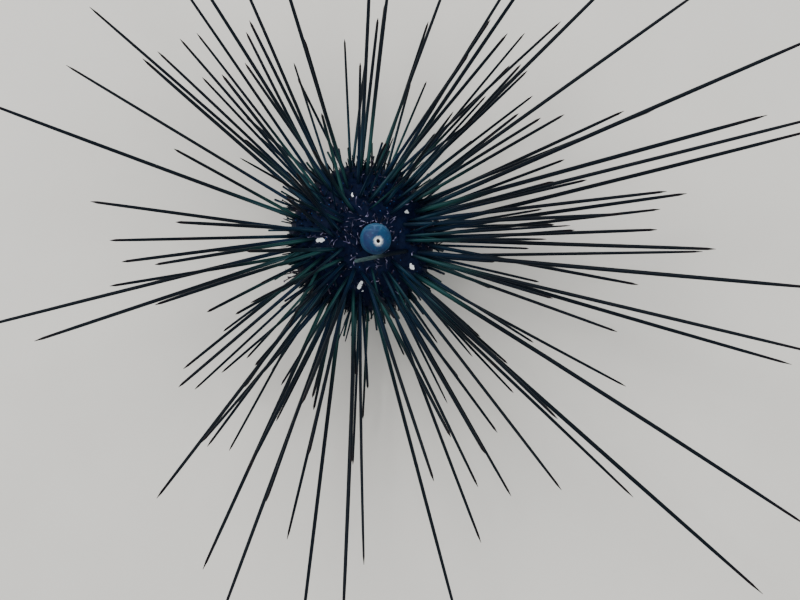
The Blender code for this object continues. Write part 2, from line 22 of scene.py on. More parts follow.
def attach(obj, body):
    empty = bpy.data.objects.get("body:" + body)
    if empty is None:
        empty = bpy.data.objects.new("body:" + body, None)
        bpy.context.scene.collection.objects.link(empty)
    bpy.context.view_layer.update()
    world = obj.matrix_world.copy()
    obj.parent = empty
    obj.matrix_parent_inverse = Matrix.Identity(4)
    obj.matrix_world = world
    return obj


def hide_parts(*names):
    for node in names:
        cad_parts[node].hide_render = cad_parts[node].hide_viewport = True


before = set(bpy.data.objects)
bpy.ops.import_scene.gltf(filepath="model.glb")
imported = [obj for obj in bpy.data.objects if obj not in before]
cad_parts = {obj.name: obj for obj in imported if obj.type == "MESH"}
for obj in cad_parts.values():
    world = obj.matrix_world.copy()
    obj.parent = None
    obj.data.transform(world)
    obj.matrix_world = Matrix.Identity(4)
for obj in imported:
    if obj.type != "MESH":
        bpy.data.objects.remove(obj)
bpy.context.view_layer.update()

LOG = logging.getLogger("urchin")

MM = 0.001
GAP = 0.3
BODY = "root"
ROW_COUNT = 5
ROW_STEP = 360.0 / ROW_COUNT
ROW_KINDS = ("broad", "narrow")
SIDES = (-1.0, 1.0)
UP = Vector((0.0, 0.0, 1.0))
# Halvings of a ray in the search for where it leaves the shell
HALVINGS = 36

# Sockets of the colour Mix node, which carries one set for each kind of value
MIX_A = 6
MIX_B = 7
MIX_OUT = 2

Colour = tuple[float, float, float, float]
Span = tuple[float, float]
Socket = bpy.types.NodeSocket
BMesh = bmesh.types.BMesh
Piece = bpy.types.Object


def linear(code: str) -> Colour:
    """Turn an sRGB hex colour to a linear one.

    Args:
        code: the colour as #rrggbb.

    Returns:
        Linear red, green, blue and an alpha of one.
    """
    parts = [int(code[place:place + 2], 16) / 255.0 for place in (1, 3, 5)]
    turned = [part / 12.92 if part <= 0.04045 else ((part + 0.055) / 1.055) ** 2.4 for part in parts]
    return (turned[0], turned[1], turned[2], 1.0)


def per_metre(size: float) -> float:
    """Texture scale at which a feature is about as wide as a size in millimetres."""
    return 1.0 / (size * MM)


def polar(radius: float, azimuth: float, height: float = 0.0) -> Vector:
    """Point at a radius, an azimuth in radians and a height."""
    return Vector((radius * cos(azimuth), radius * sin(azimuth), height))


def strayed(draw: Callable[[float, float], float], first: float, second: float) -> Vector:
    """Vector whose three parts are drawn one after another, with the same two values."""
    return Vector([draw(first, second) for _ in range(3)])


@dataclass(frozen=True)
class Shell:
    """The turned, flattened shell with its rows, its lean and its place."""

    radius: float = 33.0
    rise: float = 19.5
    drop: float = 14.5
    squareness: float = 2.25
    centre: Vector = field(default_factory=lambda: Vector((-9.8, 20.8, 37.0)))
    lean_deg: float = 15.5
    lean_towards_deg: float = -9.0
    hub_depth: float = 10.0
    broad_azimuth: float = 38.8
    broad_half: float = 23.0
    disc_radius: float = 11.0
    disc_depth: float = 4.0
    disc_dome: float = 0.8
    mouth_radius: float = 15.0
    mouth_depth: float = 3.5
    mouth_sag: float = 2.4

    @cached_property
    def lean(self) -> Matrix:
        """Turn from the shell's own axes to the world's."""
        towards = Matrix.Rotation(radians(self.lean_towards_deg), 3, "Z")
        return towards @ Matrix.Rotation(radians(self.lean_deg), 3, "Y") @ towards.inverted()

    @cached_property
    def upright(self) -> Matrix:
        """Turn from the world's axes to the shell's own."""
        return self.lean.inverted()

    @cached_property
    def hub(self) -> Vector:
        """Point in the shell that the spines point away from, in the world."""
        return self.to_world(Vector((0.0, 0.0, -self.hub_depth)))

    @cached_property
    def disc_top(self) -> float:
        """Height of the surface at the rim of the upper disc."""
        return self.profile(self.turn_at_radius(self.disc_radius))[1]

    @cached_property
    def mouth_low(self) -> float:
        """Height of the surface at the rim of the mouth."""
        return self.profile(self.turn_at_radius(self.mouth_radius, below=True))[1]

    def to_world(self, point: Vector) -> Vector:
        """Point of the shell's own axes in the world."""
        return self.centre + self.lean @ point

    def to_own(self, point: Vector) -> Vector:
        """Point of the world in the shell's own axes."""
        return self.upright @ (point - self.centre)

    def dome(self, radius: float) -> float:
        """Height of the domed upper disc at a radius."""
        share = min(radius, self.disc_radius) / self.disc_radius
        return self.disc_top + self.disc_dome * (1.0 - share ** 2)

    def profile(self, turn: float) -> Span:
        """Where the surface lies at a turn.

        Args:
            turn: the turn from the upper pole, in radians.

        Returns:
            Radius and height.
        """
        power = 2.0 / self.squareness
        cosine = cos(turn)
        half = self.rise if cosine > 0 else self.drop
        return self.radius * sin(turn) ** power, copysign(half * abs(cosine) ** power, cosine)

    def on_surface(self, azimuth_deg: float, turn_deg: float) -> Vector:
        """Point of the surface at an azimuth and a turn from the upper pole, in its own axes."""
        radius, height = self.profile(radians(turn_deg))
        return polar(radius, radians(azimuth_deg), height)

    def turn_at_radius(self, radius: float, below: bool = False) -> float:
        """Turn from the upper pole at which the surface has a radius, above or below the waist."""
        turn = asin((radius / self.radius) ** (self.squareness / 2.0))
        return pi - turn if below else turn

    def turn_of(self, point: Vector) -> float:
        """Turn from the upper pole of a point on the surface, in degrees."""
        radius = min(hypot(point.x, point.y), self.radius)
        return degrees(self.turn_at_radius(radius, below=point.z < 0.0))

    def level(self, point: Vector) -> float:
        """Tell which side of the surface a point lies on.

        Args:
            point: the point in the shell's own axes.

        Returns:
            Less than one inside, one on the surface, more outside.
        """
        half = self.rise if point.z > 0 else self.drop
        out, up = hypot(point.x, point.y) / self.radius, abs(point.z) / half
        return out ** self.squareness + up ** self.squareness

    def normal(self, point: Vector) -> Vector:
        """Outward direction at a point.

        Args:
            point: the point in the shell's own axes.

        Returns:
            The normal, of length one.
        """
        half = self.rise if point.z > 0 else self.drop
        power = self.squareness - 1.0
        radius = max(hypot(point.x, point.y), 1e-6)
        flat = (radius / self.radius) ** power / self.radius
        rise = copysign((abs(point.z) / half) ** power / half, point.z)
        return Vector((flat * point.x / radius, flat * point.y / radius, rise)).normalized()

    def pierce(self, start: Vector, direction: Vector) -> Vector:
        """Find where a ray from inside leaves the shell, in its own axes.

        Args:
            start: where the ray starts.
            direction: its direction.

        Returns:
            The point on the surface.
        """
        near, far = 0.0, 2.0 * self.radius
        for _ in range(HALVINGS):
            middle = (near + far) / 2.0
            inside = self.level(start + direction * middle) < 1.0
            near, far = (middle, far) if inside else (near, middle)
        return start + direction * near

    def row(self, kind: str, number: int) -> Span:
        """Find a row.

        Args:
            kind: broad or narrow.
            number: its number, from zero.

        Returns:
            Its middle azimuth and half width in degrees.
        """
        if kind == "broad":
            return self.broad_azimuth + number * ROW_STEP, self.broad_half
        return self.broad_azimuth + (number + 0.5) * ROW_STEP, ROW_STEP / 2.0 - self.broad_half

    def row_of(self, azimuth_deg: float) -> tuple[str, int, float, float]:
        """Find the row that holds an azimuth.

        Args:
            azimuth_deg: the azimuth in degrees.

        Returns:
            The row's kind, number, middle azimuth and half width in degrees.
        """
        steps = (azimuth_deg - self.broad_azimuth) / ROW_STEP
        kind, number = "broad", round(steps)
        if abs(azimuth_deg - self.row(kind, number)[0]) > self.broad_half:
            kind, number = "narrow", floor(steps)
        return kind, number % ROW_COUNT, *self.row(kind, number)

    def in_pole_seat(self, point: Vector, room: float) -> bool:
        """Whether a point comes near the upper disc or the mouth.

        Args:
            point: the point in the shell's own axes.
            room: how near counts.

        Returns:
            Whether it does.
        """
        radius = hypot(point.x, point.y)
        if point.z > 0.0:
            return radius < self.disc_radius + room and point.z > self.disc_top - self.disc_depth - room
        return radius < self.mouth_radius + room and point.z < self.mouth_low + self.mouth_depth + room


@dataclass(frozen=True)
class Sight:
    """The eye above the animal: it looks straight down, and a pixel at the hub covers a known size."""

    shell: Shell
    offset: Span = (19.6, -28.2)
    height: float = 700.0
    pixel: float = 0.46
    frame_width: int = 800
    sensor: float = 36.0

    @cached_property
    def eye(self) -> Vector:
        """Place of the eye in the world."""
        return Vector((self.shell.hub.x + self.offset[0], self.shell.hub.y + self.offset[1], self.height))

    @cached_property
    def lens(self) -> float:
        """Focal length on the sensor."""
        return (self.height - self.shell.hub.z) / self.pixel * self.sensor / self.frame_width

    def seen(self, point: Vector) -> Vector:
        """Where the eye sees a point, on the level of the hub."""
        eye, near = self.eye, (self.eye.z - self.shell.hub.z) / (self.eye.z - point.z)
        return Vector((eye.x + (point.x - eye.x) * near, eye.y + (point.y - eye.y) * near))

    def tip_seen_at(self, azimuth_deg: float, reach: float, height: float) -> Vector:
        """Find a point at a height that the eye sees at an azimuth and reach about the hub.

        Args:
            azimuth_deg: the azimuth in degrees.
            reach: the reach on the level of the hub.
            height: the point's height.

        Returns:
            The point in the world.
        """
        eye, hub, azimuth = self.eye, self.shell.hub, radians(azimuth_deg)
        seen = Vector((hub.x + reach * cos(azimuth), hub.y + reach * sin(azimuth)))
        near = (eye.z - height) / (eye.z - hub.z)
        return Vector((eye.x + (seen.x - eye.x) * near, eye.y + (seen.y - eye.y) * near, height))


class SpineKind(Enum):
    """What a spine does on the animal."""

    SNAPPED = "snapped"
    STANDING = "standing"
    LONG = "long"
    TIER = "tier"
    LOW = "low"
    SHORT = "short"
    FINE = "fine"


@dataclass
class Spine:
    """One straight spine from its root on the shell to its tip, in the world."""

    kind: SpineKind
    row: tuple[str, int]
    root: Vector
    tip: Vector
    direction: Vector
    length: float
    root_radius: float
    tip_radius: float


@dataclass(frozen=True)
class Limits:
    """What keeps a spine off: other roots and shafts, and the bare skin round the pole and on narrow rows."""

    root_spacing: float = 2.9
    clearance: float = 0.5
    bare_pole_room: float = 4.5
    bare_narrow_radius: float = 26.0
    sink: float = 3.6


@dataclass(frozen=True)
class Sheaf:
    """Spines that fill the sheaves round the long ones, steeper the shorter they look from above."""

    kind: SpineKind
    count: int
    reaches: Span
    lengths: Span
    spread_deg: float = 2.6
    # Least length as a share of the reach
    slack: float = 1.04
    looseness: float = 0.13
    tries: int = 90
    radii: Optional[Span] = None


@dataclass(frozen=True)
class Stubble:
    """Spines square to the shell, wherever it still has room."""

    kind: SpineKind
    count: int
    # Least and greatest turn of a root from the upper pole, in degrees
    turns: Span
    lengths: Span
    # How far an aim strays from square
    stray: float
    radii: Span


@dataclass
class SpinePlan:
    """Places the spines one by one, each clear of those before it."""

    shell: Shell
    sight: Sight
    thin_root: float = 0.58
    root_gain: float = 0.42
    full_grown: float = 190.0
    tip_radius: float = 0.5
    standing_tip: float = 0.62
    edge_margin: float = 2.1
    steepest_lean_deg: float = 62.0
    floor_clearance: float = 2.5
    tries: int = 90
    limits: Limits = Limits()
    fine_limits: Limits = Limits(1.9, 0.12, 1.4, 15.0, 1.6)
    spots: tuple[Span, ...] = ((36.4, 35.2), (114.6, 37.3), (181.7, 41.7), (256.2, 37.1), (326.8, 41.3))
    spot_room: float = 3.4
    # The snapped spine: azimuth and turn of its root, its tip from the shell's centre, and its radii
    stump_root: Span = (340.0, 26.0)
    stump_tip: tuple[float, float, float] = (-1.8, -11.6, 53.0)
    stump_radii: Span = (1.0, 0.85)
    # Standing spines: how many in a broad and a narrow row, the share of the row that they spread over, how
    # far an azimuth strays, the turns of their roots, and how far out their tips stand, times a share
    standing_counts: tuple[int, int] = (3, 2)
    standing_spread: float = 0.7
    standing_stray: float = 2.0
    standing_turns: Span = (112.0, 128.0)
    standing_splay: float = 9.0
    splay_shares: Span = (0.5, 1.5)
    # Long spines: azimuth and reach of each as the eye sees them
    long_spines: tuple[tuple[int, int], ...] = (
        (2, 138), (2, 100), (5, 140), (5, 123), (8, 153), (9, 144), (13, 215), (14, 109), (15, 225),
        (16, 197), (16, 94), (21, 102), (23, 149), (24, 235), (26, 136), (31, 111), (33, 101),
        (36, 200), (38, 94), (39, 104), (39, 70), (45, 180), (45, 110), (45, 76), (47, 137), (47, 110),
        (49, 106), (51, 122), (54, 117), (57, 150), (58, 99), (59, 142), (59, 118), (66, 79),
        (71, 150), (72, 105), (83, 140), (83, 109), (85, 102), (87, 145), (89, 81), (94, 92),
        (105, 95), (106, 138), (106, 60), (110, 86), (114, 145), (116, 112), (118, 108), (121, 150),
        (123, 96), (125, 158), (128, 120), (130, 98), (132, 123), (133, 76), (134, 103), (137, 126),
        (139, 163), (139, 69), (140, 129), (149, 156), (154, 94), (160, 188), (172, 124), (175, 84),
        (180, 114), (185, 65), (186, 109), (187, 94), (191, 116), (193, 186), (198, 156), (198, 98),
        (206, 77), (212, 66), (215, 75), (217, 100), (220, 107), (223, 102), (227, 75), (231, 75),
        (232, 151), (232, 118), (234, 118), (234, 76), (237, 73), (239, 114), (243, 76), (245, 168),
        (245, 118), (246, 70), (250, 188), (251, 128), (254, 76), (257, 142), (257, 102), (262, 186),
        (268, 176), (268, 104), (269, 104), (269, 63), (271, 150), (274, 69), (285, 188), (287, 69),
        (288, 117), (292, 151), (295, 101), (296, 127), (301, 138), (301, 115), (306, 110), (306, 79),
        (309, 149), (315, 101), (317, 174), (318, 88), (319, 248), (319, 124), (320, 110), (327, 246),
        (330, 94), (331, 141), (340, 127), (343, 94), (344, 208), (346, 218), (346, 86), (349, 83),
        (351, 131), (354, 214), (354, 134), (356, 79), (357, 159), (359, 165),
    )
    full_reach: float = 190.0
    tallest_tip: float = 150.0
    long_rises: Span = (3.0, 22.0)
    most_steepness: float = 2.2
    long_climb: float = 0.9
    # What a first try takes and what each further try adds: stray of the azimuth, scatter of the root, rise
    long_stray: Span = (0.4, 0.03)
    long_scatter: Span = (0.06, 0.006)
    added_rise: float = 0.4
    open_arcs: tuple[tuple[int, int], ...] = (
        (61, 69), (75, 81), (95, 104), (163, 169), (200, 204), (273, 282), (321, 326),
    )
    tiers: tuple[Sheaf, ...] = (
        Sheaf(SpineKind.TIER, 6, (60.0, 90.0), (92.0, 150.0)),
        Sheaf(SpineKind.TIER, 20, (34.0, 52.0), (76.0, 126.0)),
        Sheaf(SpineKind.TIER, 10, (26.0, 38.0), (70.0, 108.0)),
    )
    # Low spines: number, spread of the azimuths, reaches, falls in degrees, room over the floor, scatter
    low_count: int = 24
    low_spread: float = 0.8
    low_reaches: Span = (54.0, 98.0)
    low_falls: Span = (-2.0, -26.0)
    low_rooms: Span = (0.5, 9.0)
    low_scatter: float = 0.2
    short: Stubble = Stubble(SpineKind.SHORT, 84, (30.0, 122.0), (6.0, 13.0), 0.18, (0.5, 0.5))
    # Middle azimuth, spread to each side and number of the spines closest round the pole
    crown_sheaves: tuple[tuple[float, float, int], ...] = (
        (352.0, 15.0, 12), (296.0, 16.0, 11), (212.0, 18.0, 9), (142.0, 20.0, 9), (60.0, 14.0, 8),
    )
    crown_turns: Span = (15.5, 27.0)
    crown_rises: Span = (36.0, 60.0)
    crown_lengths: Span = (44.0, 84.0)
    crown_radii: Span = (0.7, 0.25)
    crown_stray: float = 7.0
    fine_sheaf: Sheaf = Sheaf(
        SpineKind.FINE, 24, (24.0, 50.0), (50.0, 96.0), 3.4, 1.05, tries=30, radii=(0.42, 0.2),
    )
    fine_low: Stubble = Stubble(SpineKind.FINE, 120, (124.0, 151.0), (5.0, 13.0), 0.3, (0.42, 0.3))
    fine_round: Stubble = Stubble(SpineKind.FINE, 240, (30.0, 124.0), (2.6, 5.8), 0.25, (0.34, 0.15))
    spines: list[Spine] = field(default_factory=list)

    @cached_property
    def spots_seen(self) -> list[Vector]:
        """Where the eye sees the bare spots."""
        return [self.sight.seen(self.shell.to_world(self.shell.on_surface(*spot))) for spot in self.spots]

    def settle_root(self, point: Vector) -> Optional[tuple[Vector, tuple[str, int], float, float]]:
        """Slide a root along the surface until it is clear of its row's edges.

        Args:
            point: the root in the shell's own axes.

        Returns:
            The root, its row, the row's middle azimuth and half width, or None in a tight corner.
        """
        radius = hypot(point.x, point.y)
        azimuth = degrees(atan2(point.y, point.x))
        kind, number, middle, half = self.shell.row_of(azimuth)
        room = half - degrees(self.edge_margin / radius)
        if room <= 0.0:
            return None
        azimuth = middle + max(-room, min(room, azimuth - middle))
        return polar(radius, radians(azimuth), point.z), (kind, number), middle, half

    def edge_room(self, point: Vector, middle: float, half: float) -> float:
        """Distance to the nearer edge of a row.

        Args:
            point: a point in the shell's own axes.
            middle: the row's middle azimuth in degrees.
            half: half its width in degrees.

        Returns:
            The distance, positive inside the row.
        """
        room = []
        for side in SIDES:
            edge = radians(middle + side * half)
            room.append(side * (point.x * sin(edge) - point.y * cos(edge)))
        return min(room)

    def nearest(self, start: np.ndarray, end: np.ndarray, root_radius: float, tip_radius: float) -> Span:
        """Room that a spine would have beside the spines placed so far.

        Args:
            start: root of the spine.
            end: its tip.
            root_radius: its radius at the root.
            tip_radius: its radius at the tip.

        Returns:
            Distance to the nearest root, and nearest approach less the two radii there.
        """
        first, last = (np.array([getattr(spine, end)[:] for spine in self.spines]) for end in ("root", "tip"))
        root_radii, tip_radii = np.array([(spine.root_radius, spine.tip_radius) for spine in self.spines]).T
        along = end - start
        across = last - first
        between = start - first
        own_square = float(along @ along)
        other_square = np.einsum("ij,ij->i", across, across)
        mixed = across @ along
        own_lead = between @ along
        other_lead = np.einsum("ij,ij->i", across, between)
        spread = np.maximum(own_square * other_square - mixed ** 2, 1e-9)
        own = np.clip((mixed * other_lead - own_lead * other_square) / spread, 0.0, 1.0)
        other = np.clip((mixed * own + other_lead) / other_square, 0.0, 1.0)
        own = np.clip((mixed * other - own_lead) / own_square, 0.0, 1.0)
        apart = start + own[:, None] * along - first - other[:, None] * across
        own_radius = root_radius + (tip_radius - root_radius) * own
        other_radius = root_radii + (tip_radii - root_radii) * other
        rooms = np.linalg.norm(apart, axis=1) - own_radius - other_radius
        return float(np.linalg.norm(first - start, axis=1).min()), float(rooms.min())

    def hides_spot(self, root: Vector, tip: Vector) -> bool:
        """Whether a spine would stand between the eye and one of the bare spots.

        Args:
            root: its root in the world.
            tip: its tip in the world.

        Returns:
            Whether it would.
        """
        start = self.sight.seen(root)
        along = self.sight.seen(tip) - start
        for spot in self.spots_seen:
            share = max(0.0, min(1.0, (spot - start).dot(along) / along.length_squared))
            if (start + along * share - spot).length < self.spot_room:
                return True
        return False

    def place(self, kind: SpineKind, tip: Vector, root: Vector, radii: Optional[Span] = None) -> bool:
        """Keep a spine if it has room on the shell and beside the others.

        Args:
            kind: what the spine does.
            tip: its tip in the world.
            root: its root in the shell's own axes.
            radii: its radii at root and tip, or None for those that its length gives.

        Returns:
            Whether it was kept.
        """
        shell, limits = self.shell, self.limits
        if shell.in_pole_seat(root, limits.bare_pole_room):
            return False
        settled = self.settle_root(root)
        if settled is None:
            return False
        root, row, middle, half = settled
        if row[0] == "narrow" and root.z > 0.0 and hypot(root.x, root.y) < limits.bare_narrow_radius:
            return False
        world_root = shell.to_world(root)
        if self.hides_spot(world_root, tip):
            return False
        direction = (tip - world_root).normalized()
        local_direction = shell.upright @ direction
        uprightness = local_direction.dot(shell.normal(root))
        if uprightness < cos(radians(self.steepest_lean_deg)):
            return False
        length = (tip - world_root).length
        root_radius, tip_radius = radii or (
            self.thin_root + self.root_gain * min(length / self.full_grown, 1.0),
            self.standing_tip if kind is SpineKind.STANDING else self.tip_radius,
        )
        sunk = root - local_direction * limits.sink
        room = root_radius + GAP
        if self.edge_room(sunk, middle, half) < room or shell.in_pole_seat(sunk, room):
            return False
        if self.edge_room(root, middle, half) < root_radius / uprightness + GAP:
            return False
        if kind is not SpineKind.STANDING and tip.z < self.floor_clearance:
            return False
        if self.spines:
            ends = np.array(world_root[:]), np.array(tip[:])
            root_room, room = self.nearest(*ends, root_radius, tip_radius)
            if root_room < limits.root_spacing or room < limits.clearance:
                return False
        self.spines.append(Spine(kind, row, world_root, tip, direction, length, root_radius, tip_radius))
        return True

    def root_under(self, tip: Vector, chance: random.Random, scatter: float, climb: float = 0.0) -> Vector:
        """Root where the line from the hub to a tip leaves the shell.

        Args:
            tip: the tip in the world.
            chance: the seeded draw.
            scatter: how far the line strays.
            climb: how far above that line the root may lie.

        Returns:
            The root in the shell's own axes.
        """
        aim = (tip - self.shell.hub).normalized()
        aim.z += chance.uniform(0.0, climb)
        aim = (self.shell.upright @ aim).normalized()
        aim = (aim + strayed(chance.uniform, -scatter, scatter)).normalized()
        return self.shell.pierce(Vector((0.0, 0.0, -self.shell.hub_depth)), aim)

    def leaders(self, count: int) -> list[int]:
        """Azimuths of as many long spines as are counted, spread through the list."""
        return [self.long_spines[number * len(self.long_spines) // count][0] for number in range(count)]

    def snap(self) -> None:
        """Place the stump of a snapped spine beside the anal sac."""
        tip = self.shell.centre + Vector(self.stump_tip)
        self.place(SpineKind.SNAPPED, tip, self.shell.on_surface(*self.stump_root), self.stump_radii)

    def stand(self, chance: random.Random) -> None:
        """Place the short lower spines whose flat tips carry the animal.

        Args:
            chance: the seeded draw.
        """
        shell = self.shell
        kinds = list(zip(ROW_KINDS, self.standing_counts))
        for number, (kind, count) in [(number, kind) for number in range(ROW_COUNT) for kind in kinds]:
            middle, half = shell.row(kind, number)
            for place in range(count):
                # From one side of the row to the other
                spread = (place + 0.5) / count * 2.0 - 1.0
                for _ in range(self.tries):
                    stray = chance.uniform(-self.standing_stray, self.standing_stray)
                    azimuth = middle + spread * half * self.standing_spread + stray
                    root = shell.on_surface(azimuth, chance.uniform(*self.standing_turns))
                    foot = shell.to_world(root)
                    outward = Vector((foot.x - shell.hub.x, foot.y - shell.hub.y, 0.0)).normalized()
                    splay = outward * self.standing_splay * chance.uniform(*self.splay_shares)
                    tip = Vector((foot.x + splay.x, foot.y + splay.y, 0.0))
                    if self.place(SpineKind.STANDING, tip, root):
                        break

    def reach_out(self, chance: random.Random) -> None:
        """Place the spines that stand out past the others, each near its own azimuth and reach.

        Args:
            chance: the seeded draw.
        """
        for azimuth, reach in self.long_spines:
            for attempt in range(self.tries):
                steepness = max(1.0, min(self.full_reach / reach, self.most_steepness))
                rise = radians(chance.uniform(*self.long_rises) * steepness + attempt * self.added_rise)
                looseness = (self.long_stray, self.long_scatter)
                stray, scatter = (first + attempt * more for first, more in looseness)
                turned = azimuth + chance.uniform(-1.0, 1.0) * stray
                height = min(self.shell.hub.z + reach * tan(rise), self.tallest_tip)
                tip = self.sight.tip_seen_at(turned, reach, height)
                if self.place(SpineKind.LONG, tip, self.root_under(tip, chance, scatter, self.long_climb)):
                    break

    def fill(self, sheaf: Sheaf, chance: random.Random) -> None:
        """Place the spines of a sheaf, and none in the gaps between the sheaves.

        Args:
            sheaf: what they are.
            chance: the seeded draw.
        """
        for leader in self.leaders(sheaf.count):
            for _ in range(sheaf.tries):
                azimuth = leader + chance.gauss(0.0, sheaf.spread_deg)
                if any(low <= azimuth % 360.0 <= high for low, high in self.open_arcs):
                    continue
                reach = chance.uniform(*sheaf.reaches)
                length = max(chance.uniform(*sheaf.lengths), reach * sheaf.slack)
                height = self.shell.hub.z + sqrt(length ** 2 - reach ** 2)
                tip = self.sight.tip_seen_at(azimuth, reach, height)
                if self.place(sheaf.kind, tip, self.root_under(tip, chance, sheaf.looseness), sheaf.radii):
                    break

    def hang_low(self, chance: random.Random) -> None:
        """Place the spines under the waist, which reach out over the floor, each below a long one.

        Args:
            chance: the seeded draw.
        """
        for leader in self.leaders(self.low_count):
            for _ in range(self.tries):
                azimuth = leader + chance.gauss(0.0, self.low_spread)
                reach = chance.uniform(*self.low_reaches)
                fall = radians(chance.uniform(*self.low_falls))
                least = self.floor_clearance + chance.uniform(*self.low_rooms)
                tip = self.sight.tip_seen_at(azimuth, reach, max(self.shell.hub.z + reach * tan(fall), least))
                if self.place(SpineKind.LOW, tip, self.root_under(tip, chance, self.low_scatter)):
                    break

    def strew(self, stubble: Stubble, chance: random.Random) -> None:
        """Place spines square to the shell wherever it still has room.

        Args:
            stubble: what they are.
            chance: the seeded draw.
        """
        for _ in range(stubble.count):
            for _ in range(self.tries):
                azimuth = chance.uniform(0.0, tau)
                radius, height = self.shell.profile(radians(chance.uniform(*stubble.turns)))
                root = polar(radius, azimuth, height)
                stray = strayed(chance.uniform, -stubble.stray, stubble.stray)
                direction = (self.shell.normal(root) + stray).normalized()
                tip = self.shell.to_world(root + direction * chance.uniform(*stubble.lengths))
                if self.place(stubble.kind, tip, root, stubble.radii):
                    break

    def crowd_crown(self, chance: random.Random) -> None:
        """Place spines close round the bare pole, which lean out over the shell in sheaves.

        Args:
            chance: the seeded draw.
        """
        places = [(middle, spread) for middle, spread, count in self.crown_sheaves for _ in range(count)]
        for middle, spread in places:
            for _ in range(self.tries):
                azimuth = middle + chance.uniform(-spread, spread)
                root = self.shell.on_surface(azimuth, chance.uniform(*self.crown_turns))
                heading = radians(azimuth + chance.gauss(0.0, self.crown_stray))
                rise = radians(chance.uniform(*self.crown_rises))
                direction = polar(1.0, heading) * cos(rise) + UP * sin(rise)
                tip = self.shell.to_world(root + direction * chance.uniform(*self.crown_lengths))
                if self.place(SpineKind.FINE, tip, root, self.crown_radii):
                    break

    def grow(self) -> list[Spine]:
        """Place every spine.

        Returns:
            The spines, those of the solids first and in their order.
        """
        # Each batch draws from a seed of its own, so that none disturbs another
        self.snap()
        self.stand(random.Random(5))
        self.reach_out(random.Random(11))
        chance = random.Random(23)
        for sheaf in self.tiers:
            self.fill(sheaf, chance)
        self.hang_low(random.Random(37))
        self.strew(self.short, random.Random(41))
        self.limits = self.fine_limits
        self.crowd_crown(random.Random(47))
        self.fill(self.fine_sheaf, random.Random(53))
        self.strew(self.fine_low, random.Random(71))
        self.strew(self.fine_round, random.Random(59))
        return self.spines


class Bend(Enum):
    """How a stem leaves its straight line: bowed between its ends, or curled over towards its end."""

    BOW = "bow"
    CURL = "curl"


@dataclass
class Stem:
    """A thin round growth on the shell, in the world."""

    root: Vector
    direction: Vector
    alongs: Sequence[float]
    radii: Sequence[float]
    # Azimuth and turn from the upper pole, in degrees, where the bake map has it
    place: Span
    sway: Vector = field(default_factory=Vector)
    bend: Bend = Bend.BOW
    shade: float = 0.5


@dataclass(frozen=True)
class Strip:
    """Part of the shell that one bake map lays out flat: azimuths across, turns from the upper pole up."""

    azimuth: float = 0.0
    half: float = 180.0
    turns: Span = (10.0, 140.0)
    margin: float = 0.02

    def at(self, azimuth_deg: float, turn_deg: float) -> Span:
        """Place a point of the shell on the map.

        Args:
            azimuth_deg: its azimuth in degrees.
            turn_deg: its turn from the upper pole in degrees.

        Returns:
            Its place across and up.
        """
        across = ((azimuth_deg - self.azimuth + 180.0) % 360.0 - 180.0) / self.half
        up = (turn_deg - self.turns[0]) / (self.turns[1] - self.turns[0])
        room = 1.0 - 2.0 * self.margin
        return (
            self.margin + room * (0.5 + 0.5 * max(-1.0, min(1.0, across))),
            self.margin + room * max(0.0, min(1.0, up)),
        )


